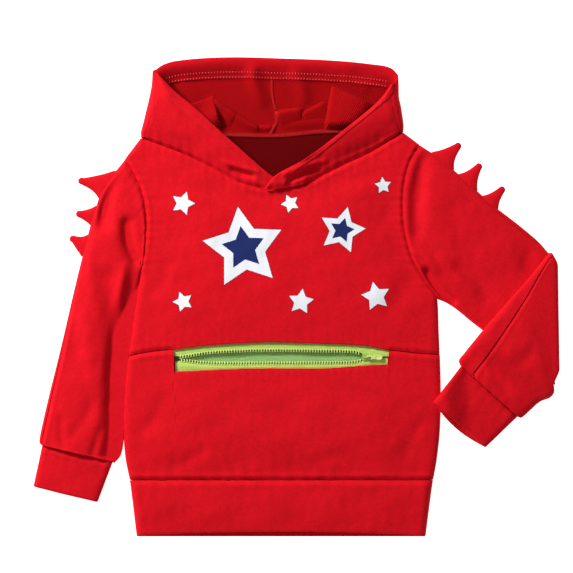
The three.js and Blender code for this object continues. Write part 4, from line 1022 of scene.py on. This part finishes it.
def loop_slant(x, y):
    """Which way the rows of loops run inside the hood, in degrees."""
    if corner_height(HOOD_CORNERS[1], np.array(x), np.array(y)) > 2:
        return 62
    if corner_height(HOOD_CORNERS[0], np.array(x), np.array(y)) > 2:
        return -50
    return 48 if x < HOOD_SEAM_X else -48


def hood_floor(x, y):
    """The lower, outer face of the hood's back."""
    z = 12 * smooth((y - read(CROWN, "x", "y", x)) / 27 + 1) + folded(HOOD_FOLDS, x, y)
    z = np.maximum(z, stepped(HOOD_STEPS, x, y))
    for corner in HOOD_CORNERS:
        z = np.maximum(z, corner_height(corner, x, y))
    return np.maximum(0, z) * smooth((y - read(BACK_NECK, "x", "y", x)) / 12)


def hood_place(side):
    rows = HOOD[side]
    out = 1 if side == "left" else -1

    def place(u, v):
        cut = section(rows, v)
        up = (cut["sideY"] - rows["sideY"][0]) / (rows["sideY"][-1] - rows["sideY"][0])
        inwards = cut["sideX"] - out * cut["radius"]

        def back_y(x):
            return mix(back_top(x) - HOOD_TUCK, read(CROWN, "x", "y", x), up)

        w = np.clip(u / WING_SHARE, 0, 1)
        wing_x = mix(cut["rimX"], inwards, w)
        straight = mix(cut["rimY"], cut["sideY"], w)
        chord_t = (wing_x - rows["rimX"][0]) / (rows["sideX"][0] - rows["rimX"][0])
        chord = mix(rows["rimY"][0], rows["sideY"][0], chord_t)
        wing_y = straight + (front_top(wing_x) - HOOD_TUCK - chord) * (1 - v) ** 2
        over = smooth((18 - wing_x) / 26 + 1) if side == "left" else 0
        from_rim = w * np.hypot(inwards - cut["rimX"], cut["sideY"] - cut["rimY"])
        hem = 0.9 * (1 - smooth((from_rim - 20) / 5)) - fall(from_rim, 3.5, 1.6)
        from_neck = v * 90
        soft = hem + ripple(wing_x + 80, wing_y) * smooth(from_rim / 15)
        soft = soft - dip(from_neck, 1.4, 3) + pucker(from_neck, wing_x, 0.4, 11, 12)
        soft = soft + 1.6 * np.sin(np.pi * w) * smooth(v * 3)
        soft = soft + folded(WING_FOLDS, wing_x, wing_y) * smooth(from_rim / 12)
        wing_z = cut["height"] + (CLOTH + SEAM + 1.2) * over + soft

        low = hood_floor(inwards, back_y(inwards)) * smooth(v * 3)
        middle = (cut["height"] + low) / 2
        share = np.clip((u - WING_SHARE) / BEND_SHARE, 0, 1)
        angle = np.pi * share
        bend_x = inwards + out * cut["radius"] * np.sin(angle)
        bend_y = mix(cut["sideY"], back_y(inwards), share)
        bend_z = middle + (cut["height"] - middle) * np.cos(angle)

        k = np.clip((u - WING_SHARE - BEND_SHARE) / (1 - WING_SHARE - BEND_SHARE), 0, 1)
        back_x = mix(inwards, HOOD_SEAM_X - out * 0.4, k)
        floor_y = back_y(back_x)
        back_z = mix(low, hood_floor(back_x, floor_y), smooth(k * 6))

        wing = u <= WING_SHARE
        bend = u <= WING_SHARE + BEND_SHARE
        choose = lambda a, b, c: np.where(wing, a, np.where(bend, b, c))
        return choose(wing_x, bend_x, back_x), choose(wing_y, bend_y, floor_y), choose(wing_z, bend_z, back_z)

    return place


def make_hood():
    for side in ("right", "left"):
        cloth(
            f"hood_{side}_cloth", 250, 130, hood_place(side), (RED_CLOTH, RED_LOOPS), f"hood_{side}",
            up=(0.2, 0.5, 1), rows_turn=loop_slant,
        )


# Spikes in the overarm seams
def overarm_point(side, y):
    rows = RIGHT_SLEEVE if side == "right" else LEFT_UPPER_ARM
    t = np.linspace(0, 1, 200)
    cuts = section(rows, t)
    return np.array([np.interp(-y, -cuts["overY"], cuts["overX"]), y])


SPIKE_TIP = 3.9  # radius of a spike's rounded tip


def spike_place(side, k):
    from_y, to_y, tip_x, tip_y, hollow_from, hollow_to = (column[k] for column in SPIKES[side].values())
    start, end, tip = overarm_point(side, from_y), overarm_point(side, to_y), np.array([tip_x, tip_y])
    along = (end - start) / np.linalg.norm(end - start)
    out = np.array([-along[1], along[0]])
    out = out if out @ (tip - start) > 0 else -out
    tip = tip - out
    foot = (start + end) / 2
    tuck = 1.5

    def side_curve(base, sign, hollow, t):
        shoulder = tip + sign * SPIKE_TIP * along
        bent = mix(mix(base, shoulder, 0.42), foot, hollow)
        return [(1 - t) ** 2 * base[i] + 2 * t * (1 - t) * bent[i] + t * t * shoulder[i] for i in (0, 1)]

    def place(u, v):
        t = np.clip(v / 0.9, 0, 1)
        closing = np.clip((v - 0.9) / 0.1, 0, 1)
        first, second = side_curve(start, -1, hollow_from, t), side_curve(end, 1, hollow_to, t)
        angle = 2 * np.pi * u
        narrow = np.sqrt(1 - closing**2)
        reach = SPIKE_TIP * closing - tuck * (1 - smooth(v * 8))
        middle = [(first[i] + second[i]) / 2 + out[i] * reach for i in (0, 1)]
        half = [(second[i] - first[i]) / 2 * narrow for i in (0, 1)]
        swell = np.abs(np.sin(angle)) ** 0.8 * np.sign(np.sin(angle))
        thick = mix(2.6, 1.5, smooth(v)) * narrow
        return middle[0] + half[0] * np.cos(angle), middle[1] + half[1] * np.cos(angle), 4.5 + thick * swell

    return place


def make_spikes():
    for side in ("right", "left"):
        for k in range(3):
            piece = surface(
                f"{side}_spike_{k + 1}_cloth", 36, 30, spike_place(side, k), (RED_CLOTH,), up=(0.25, 0.5, 1)
            )
            mesh = bmesh.new()
            mesh.from_mesh(piece.data)
            bmesh.ops.remove_doubles(mesh, verts=mesh.verts, dist=1e-5)
            bmesh.ops.holes_fill(mesh, edges=mesh.edges, sides=0)
            bmesh.ops.recalc_face_normals(mesh, faces=mesh.faces)
            mesh.to_mesh(piece.data)
            mesh.free()
            piece.data.shade_smooth()
            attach(piece, "garment")
            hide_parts(f"{side}_spike_{k + 1}")


# The zip: two tapes, the lining behind them, moulded teeth, a slider with its pull and a dark block at each end
TAPE_TUCK = 4
TOOTH_PITCH = 3.03
SLIDER = {"x": 94.5, "y": 199.4, "nose": 88.5, "tail": 100.5, "top": 8.1}
PULL_Z = 9.4


def tape_place(upper):
    window, mouth, way = ("top", "upper", 1) if upper else ("bottom", "lower", -1)

    def place(u, v):
        x = mix(ZIP_WINDOW["x"][0], ZIP_WINDOW["x"][-1], u)
        tooth = read(ZIP_MOUTH, "x", mouth, x)
        cloth_edge = read(ZIP_WINDOW, "x", window, x) + way * TAPE_TUCK
        wide = smooth((cloth_edge - tooth) * way / 10)
        shown = np.clip(v / 0.7, 0, 1)
        arch = (0.9 * np.sin(np.pi * shown) + 0.16 * np.sin(x / 4.7) * shown) * wide * (v < 0.7)
        cord = 0.45 * np.exp(-(((v - 0.06) / 0.06) ** 2))
        return x, mix(tooth, cloth_edge, v), TAPE_TOP - 0.1 + arch + cord - 0.5 * smooth((v - 0.7) * 5)

    return place


def lining_place(u, v):
    x, y = mix(-120, 117, u), mix(132, 219, v)
    narrow = 10 * (1 - v) ** 3
    x = mix(-120 + narrow, 117 - narrow, u)
    soft = 0.35 * np.sin(x / 17 + 0.04 * y) + 0.25 * np.sin(x / 7.3 + y / 11)
    return x, y, LINING_TOP - 0.5 + soft * np.sin(np.pi * u) ** 0.5


def block(mesh, size, centre):
    """A box of a size, in pattern millimetres, among a bmesh's other shapes."""
    at = Vector(in_frame(*centre))
    made = bmesh.ops.create_cube(
        mesh, size=1, matrix=Matrix.Translation(at) @ Matrix.Diagonal((*(Vector(size) / 1000), 1))
    )
    return made["verts"]


def soften(mesh, width, segments=2):
    bmesh.ops.bevel(
        mesh, geom=mesh.edges[:], offset=width / 1000, segments=segments, profile=0.5, affect="EDGES", material=-1
    )


def hardware(name, mesh, material, body="garment", node_name=None):
    piece = finish(name, mesh, material)
    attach(piece, body)
    if node_name:
        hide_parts(node_name)
    return piece


def make_teeth():
    mesh = bmesh.new()
    for mouth, way in (("upper", 1), ("lower", -1)):
        offset = 0 if way > 0 else TOOTH_PITCH / 2
        for x in np.arange(-115 + offset, 112, TOOTH_PITCH):
            if SLIDER["nose"] - 1 < x < SLIDER["tail"]:
                continue
            closed = x > SLIDER["tail"]
            y = SLIDER["y"] + way * 0.5 if closed else read(ZIP_MOUTH, "x", mouth, x) - way * 0.35
            block(mesh, (1.3, 3.7, 1.7), (x, y, 6.5))
            block(mesh, (1.5, 1.0, 1.3), (x, y - way * 1.6, 6.4))
    soften(mesh, 0.2, 1)
    hardware("zip_teeth", mesh, TOOTH)


def make_slider():
    mesh = bmesh.new()
    x, y = SLIDER["x"], SLIDER["y"]
    length = SLIDER["tail"] - SLIDER["nose"]
    for z, thick in ((4.5, 0.8), (7.3, 1.5)):
        plate = block(mesh, (length, 8.6, thick), (x, y, z))
        edges = list({edge for vertex in plate for edge in vertex.link_edges})
        long_edges = [edge for edge in edges if abs((edge.verts[0].co - edge.verts[1].co).x) > 0.005]
        bmesh.ops.subdivide_edges(mesh, edges=long_edges, cuts=7)
        middle_y = in_frame(x, y, 0)[1]
        for vertex in [vertex for vertex in mesh.verts if abs(vertex.co.z * 1000 - z) < thick]:
            t = (vertex.co.x * 1000 - SHIFT[0] - SLIDER["nose"]) / length
            narrow = mix(1.0, 0.68, float(smooth(t / 0.75))) * mix(0.72, 1.0, float(smooth(t / 0.14)))
            narrow *= mix(1.0, 0.8, float(smooth((t - 0.9) / 0.1)))
            vertex.co.y = middle_y + (vertex.co.y - middle_y) * narrow
    block(mesh, (2.4, 1.6, 4), (SLIDER["nose"] + 2.6, y, 6))
    for way in (-1, 1):
        block(mesh, (4.6, 0.8, 1.0), (x + 3.2, y + way * 2.5, 6.2))
    soften(mesh, 0.22)
    hoop = bmesh.ops.create_circle(mesh, segments=10, radius=0.62 / 1000)["verts"]
    bmesh.ops.scale(mesh, verts=hoop, vec=(1, 1.5, 1))
    bmesh.ops.translate(mesh, verts=hoop, vec=Vector(in_frame(x - 3.6, y, SLIDER["top"] - 0.4)))
    edges = list({edge for vertex in hoop for edge in vertex.link_edges})
    bmesh.ops.spin(
        mesh, geom=edges + hoop, cent=Vector(in_frame(x, y, SLIDER["top"] - 0.4)), axis=(0, 1, 0),
        angle=math.pi, steps=14,
    )
    bmesh.ops.recalc_face_normals(mesh, faces=mesh.faces)
    hardware("zip_slider_body", mesh, ENAMEL, node_name="zip_slider")


def make_pull():
    """The pull: a ring round its pin, a neck, and a tab with a sunk panel and a rounded end."""
    mesh = bmesh.new()
    x, y = SLIDER["x"], SLIDER["y"]
    bmesh.ops.create_grid(mesh, x_segments=18, y_segments=5, size=0.5)
    hole = [face for face in mesh.faces if abs(face.calc_center_median().y) < 0.15
            and -0.42 < face.calc_center_median().x < -0.2]
    bmesh.ops.delete(mesh, geom=hole, context="FACES")
    for vertex in mesh.verts:
        t, side = vertex.co.x + 0.5, vertex.co.y * 2
        half = mix(2.5, 1.9, float(smooth((t - 0.3) / 0.12))) + 0.75 * float(smooth((t - 0.5) / 0.2))
        ends = math.sqrt(max(0.0, 1 - max(0.0, (t - 0.86) / 0.14, (0.12 - t) / 0.12) ** 2))
        away = t * 17.6 - 0.8
        vertex.co = Vector(in_frame(x + away, y + side * half * mix(0.25, 1, ends), PULL_Z - 0.6))
    extruded = bmesh.ops.extrude_face_region(mesh, geom=mesh.faces[:])["geom"]
    bmesh.ops.translate(
        mesh, verts=[item for item in extruded if isinstance(item, bmesh.types.BMVert)], vec=(0, 0, 0.0012)
    )
    bmesh.ops.recalc_face_normals(mesh, faces=mesh.faces)
    right = in_frame(x + 9.4, y, 0)[0]
    end = in_frame(x + 14.6, y, 0)[0]
    panel = [
        face for face in mesh.faces if face.normal.z > 0.9 and right < face.calc_center_median().x < end
        and abs(face.calc_center_median().y - in_frame(x, y, 0)[1]) < 0.0013
    ]
    bmesh.ops.inset_region(mesh, faces=panel, thickness=0.0003, depth=-0.0003)
    block(mesh, (1.1, 4.6, 1.0), (x - 0.1, y, PULL_Z))
    piece = hardware("zip_pull_tab", mesh, PULL_ENAMEL, body="pull_tab", node_name="zip_pull")
    rounding = piece.modifiers.new("edges", "BEVEL")
    rounding.width = 0.0003
    rounding.segments = 3
    rounding.limit_method = "ANGLE"
    rounding.angle_limit = math.radians(40)


def make_zip():
    for upper, name in ((True, "upper"), (False, "lower")):
        cloth(
            f"zip_tape_{name}_weave", 150, 20, tape_place(upper), (LIME_TAPE,), f"zip_tape_{name}",
            wall=0.8,
        )
    cloth("pocket_lining_cloth", 80, 40, lining_place, (GREEN_LINING,), "pocket_lining", wall=0.8)
    # A dark strip under each row of teeth: painted shade in the gaps between them.
    for mouth, way in (("upper", 1), ("lower", -1)):
        xs = np.linspace(-118, SLIDER["nose"] + 2, 160)
        edge = line(xs, lambda x: read(ZIP_MOUTH, "x", mouth, x) + way * 0.4, lambda x, y: 0 * x + TAPE_TOP - 0.3, 0)
        mesh_piece = surface(f"zip_{mouth}_edge", 6, 160, ridge_place(edge, 1.5, 0.7), (TAPE_PAINTED_SHADE,))
        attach(mesh_piece, "garment")
    make_teeth()
    make_slider()
    make_pull()
    # A dark block at each end of the zip's mouth, where the tape ends.
    for name, x, size in (("left", -120.3, (5.4, 5.6, 2.2)), ("right", 116, (5.6, 1.6, 1.8))):
        mesh = bmesh.new()
        block(mesh, size, (x, 197.6 if name == "left" else SLIDER["y"] + 0.2, 6.0))
        soften(mesh, 0.4)
        hardware(f"zip_dark_end_{name}", mesh, DARK_END_BLOCK)


# Hood facing: the rim turned in along the crown
FACING = {"width": 23, "roll": 0.2, "wall": 1.2, "needles": (16, 21.5)}


def facing_top(x, y):
    from_crown = read(CROWN, "x", "y", x) - y
    swell = 0.9 * np.sin(np.pi * np.clip(from_crown / FACING["width"], 0, 1))
    drag = 0.5 * np.sin(x / 9.0 + from_crown / 9) * smooth((x - 40) / 40) + 0.3 * np.sin(x / 23.0)
    return hood_floor(x, y) + CLOTH + 0.6 + swell + drag * smooth(from_crown / 8)


def facing_place(u, v):
    x = mix(-145.2, 128.2, spread(u, 0.3))
    crown = read(CROWN, "x", "y", x)
    roll = np.pi * np.clip(v / FACING["roll"], 0, 1)
    inwards = np.clip((v - FACING["roll"]) / (1 - FACING["roll"]), 0, 1) * FACING["width"]
    y = crown + 0.7 * np.sin(roll) - inwards - 1.5 * np.cos(roll / 2)
    top = facing_top(x, np.minimum(y, crown))
    under = hood_floor(x, crown) - 0.4
    z = np.where(v < FACING["roll"], mix(under, facing_top(x, crown - 1.5), 0.5 - 0.5 * np.cos(roll)), top)
    return x, y, z


def sew(name, points, material, length=2.3, pitch=3.1, width=0.5, lean=0.0):
    """A row of stitches along a line of points, each a short spindle of thread, leaning from the line."""
    points = np.array(points)
    steps = np.linalg.norm(np.diff(points, axis=0), axis=1)
    travelled = np.concatenate([[0], np.cumsum(steps)])
    mesh = bmesh.new()
    for way in np.arange(pitch / 2, travelled[-1], pitch):
        here = Vector([np.interp(way, travelled, points[:, k]) for k in range(3)])
        ahead = Vector([np.interp(way + pitch / 4, travelled, points[:, k]) for k in range(3)])
        axis = (ahead - here).normalized()
        axis.rotate(Matrix.Rotation(math.radians(lean), 3, "Z"))
        place = Matrix.Translation((here + Vector(SHIFT)) / 1000) @ axis.to_track_quat("X", "Z").to_matrix().to_4x4()
        place = place @ Matrix.Diagonal((length / 1000, width / 1000, 0.8 * width / 1000, 1))
        bmesh.ops.create_uvsphere(mesh, u_segments=6, v_segments=5, radius=0.5, matrix=place)
    piece = finish(name, mesh, material)
    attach(piece, "garment")
    return piece


def line(xs, y_at, z_at, above=0.1):
    """Points of a seam over the cloth, from its places across."""
    ys = y_at(xs)
    return np.stack([xs, ys, z_at(xs, ys) + above], -1)


def on_piece(place, us, vs, above=0.1):
    """Points over a piece from its own grid places."""
    x, y, z = place(us, vs)
    return np.stack([x, y, z + above], -1)


def make_hood_sewing():
    cloth(
        "hood_facing", 220, 30, facing_place, (RED_CLOTH, RED_LOOPS), None, up=(0.5, 0.6, 1),
        wall=FACING["wall"],
    )
    for k, needle in enumerate(FACING["needles"]):
        xs = np.linspace(-132, 118, 400)
        path = line(xs, lambda x: read(CROWN, "x", "y", x) - needle, facing_top, 0.15)
        sew(f"facing_stitches_{k + 1}", path, PALE_THREAD, 2.5, 3.4, 0.6, lean=74 - 8 * k)
    for side in ("right", "left"):
        place = hood_place(side)
        for k, from_rim in enumerate((20.5, 26.0)):
            vs = np.linspace(0.05, 0.8, 300)
            cut = section(HOOD[side], vs)
            span = np.hypot(cut["sideX"] - cut["rimX"], cut["sideY"] - cut["rimY"])
            sew(
                f"hood_{side}_stitches_{k + 1}", on_piece(place, WING_SHARE * from_rim / span, vs, 0.05),
                RED_THREAD, 2.0, 3.0, 0.42,
            )


def ridge_place(path, half_width, height):
    """A flattened half tube over a line of points, as an overlocked seam lies."""
    share = np.linspace(0, 1, len(path))

    def place(u, v):
        centre = [np.interp(v, share, path[:, k]) for k in range(3)]
        ahead = [np.interp(np.clip(v + 0.01, 0, 1), share, path[:, k]) for k in (0, 1)]
        behind = [np.interp(np.clip(v - 0.01, 0, 1), share, path[:, k]) for k in (0, 1)]
        dx, dy = ahead[0] - behind[0], ahead[1] - behind[1]
        size = np.maximum(np.hypot(dx, dy), 1e-6)
        across = mix(-1, 1, u) * half_width
        lift = height * np.sqrt(np.clip(1 - (2 * u - 1) ** 2, 0, 1))
        return centre[0] - across * dy / size, centre[1] + across * dx / size, centre[2] + lift

    return place


def inside_hood(points):
    """A path over the hood's inner side, from its corner points."""
    points = np.array(points, float)
    share = np.linspace(0, len(points) - 1, 60)
    xs, ys = (np.interp(share, np.arange(len(points)), points[:, k]) for k in (0, 1))
    return np.stack([xs, ys, hood_floor(xs, ys) + CLOTH], -1)


def make_inner_seams():
    xs = np.linspace(-112, 96, 120)
    neck = line(xs, lambda x: back_top(x) + 0.4, lambda x, y: 0 * x + CLOTH, 0)
    centre = inside_hood([(-8, 476), (-5.4, 469), (-6, 464), (-11, 456), (-14, 450)])
    above = inside_hood([(-12, 511), (-12.4, 500), (-11, 488), (-8, 477)])
    flap = inside_hood([(-5.5, 474.4), (6, 476), (18.6, 477.6)])
    for name, path, half_width, height in (
        ("neck", neck, 2.6, 1.5), ("centre", centre, 2.2, 1.3), ("centre_upper", above, 1.8, 0.7),
        ("flap", flap, 1.5, 0.9),
    ):
        ridge = surface(f"inner_seam_{name}", 8, 80, ridge_place(path, half_width, height), (RED_LOOPS,))
        add_wall(ridge, 0.6)
        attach(ridge, "garment")
        crossing = path.copy()
        crossing[:, 2] += height
        sew(f"overlock_{name}", crossing, RED_THREAD, 2 * half_width * 0.95, 1.9, 0.5, lean=64)


def make_front_sewing():
    """Fine stitches along the zip's window, above and below it."""
    start, end = ZIP_WINDOW["x"][0] + 3, ZIP_WINDOW["x"][-1] - 3
    xs = np.linspace(start, end, 300)
    upper = line(xs, lambda x: read(ZIP_WINDOW, "x", "top", x) + 2.4, upper_height, 0.02)
    lower = line(xs, lambda x: read(ZIP_WINDOW, "x", "bottom", x) - 2.4, front_height, -0.1)
    sew("window_stitches_upper", upper, RED_THREAD, 2.1, 3.0, 0.4)
    sew("window_stitches_lower", lower, RED_THREAD, 2.1, 3.0, 0.4)


make_sleeves()
make_bands()
make_hood()
make_spikes()
make_zip()
make_hood_sewing()
make_inner_seams()
make_front_sewing()

# Stage, camera and light
CENTRE = (3.9, 278.9)
VIEW_WIDTH = 641.8
LENS, SENSOR = 200, 36


def set_stage():
    mesh = bmesh.new()
    bmesh.ops.create_grid(mesh, x_segments=1, y_segments=1, size=6)
    bmesh.ops.translate(mesh, verts=mesh.verts, vec=(0, 0, -0.0004))
    material, _, shader = new_material("pale_floor", 0.9, specular=0.1)
    shader.inputs["Base Color"].default_value = (0.93, 0.93, 0.935, 1)
    shader.inputs["Emission Color"].default_value = (1, 1, 1, 1)
    shader.inputs["Emission Strength"].default_value = 1.0
    floor = finish("floor", mesh, material)

    world = bpy.data.worlds.new("studio")
    world.use_nodes = True
    world.node_tree.nodes["Background"].inputs["Color"].default_value = (1, 1, 1, 1)
    world.node_tree.nodes["Background"].inputs["Strength"].default_value = 0.17
    bpy.context.scene.world = world

    def lamp(name, place, size, power):
        light = bpy.data.lights.new(name, "AREA")
        light.shape = "DISK"
        light.size = size
        light.energy = power
        holder = bpy.data.objects.new(name, light)
        holder.location = place
        holder.rotation_euler = (Vector((0, 0, 0)) - Vector(place)).to_track_quat("-Z", "Y").to_euler()
        bpy.context.collection.objects.link(holder)

    lamp("key", (-1.6, 1.4, 1.22), 0.6, 79)
    lamp("fill", (-0.1, -0.4, 2.6), 2.4, 10)

    camera = bpy.data.cameras.new("camera")
    camera.lens = LENS
    camera.sensor_width = SENSOR
    holder = bpy.data.objects.new("camera", camera)
    x, y, _ = in_frame(*CENTRE, 0)
    holder.location = (x, y, LENS / SENSOR * VIEW_WIDTH / 1000 + FLAT / 1000)
    bpy.context.collection.objects.link(holder)
    bpy.context.scene.camera = holder


set_stage()
bpy.context.scene.view_settings.view_transform = "Standard"
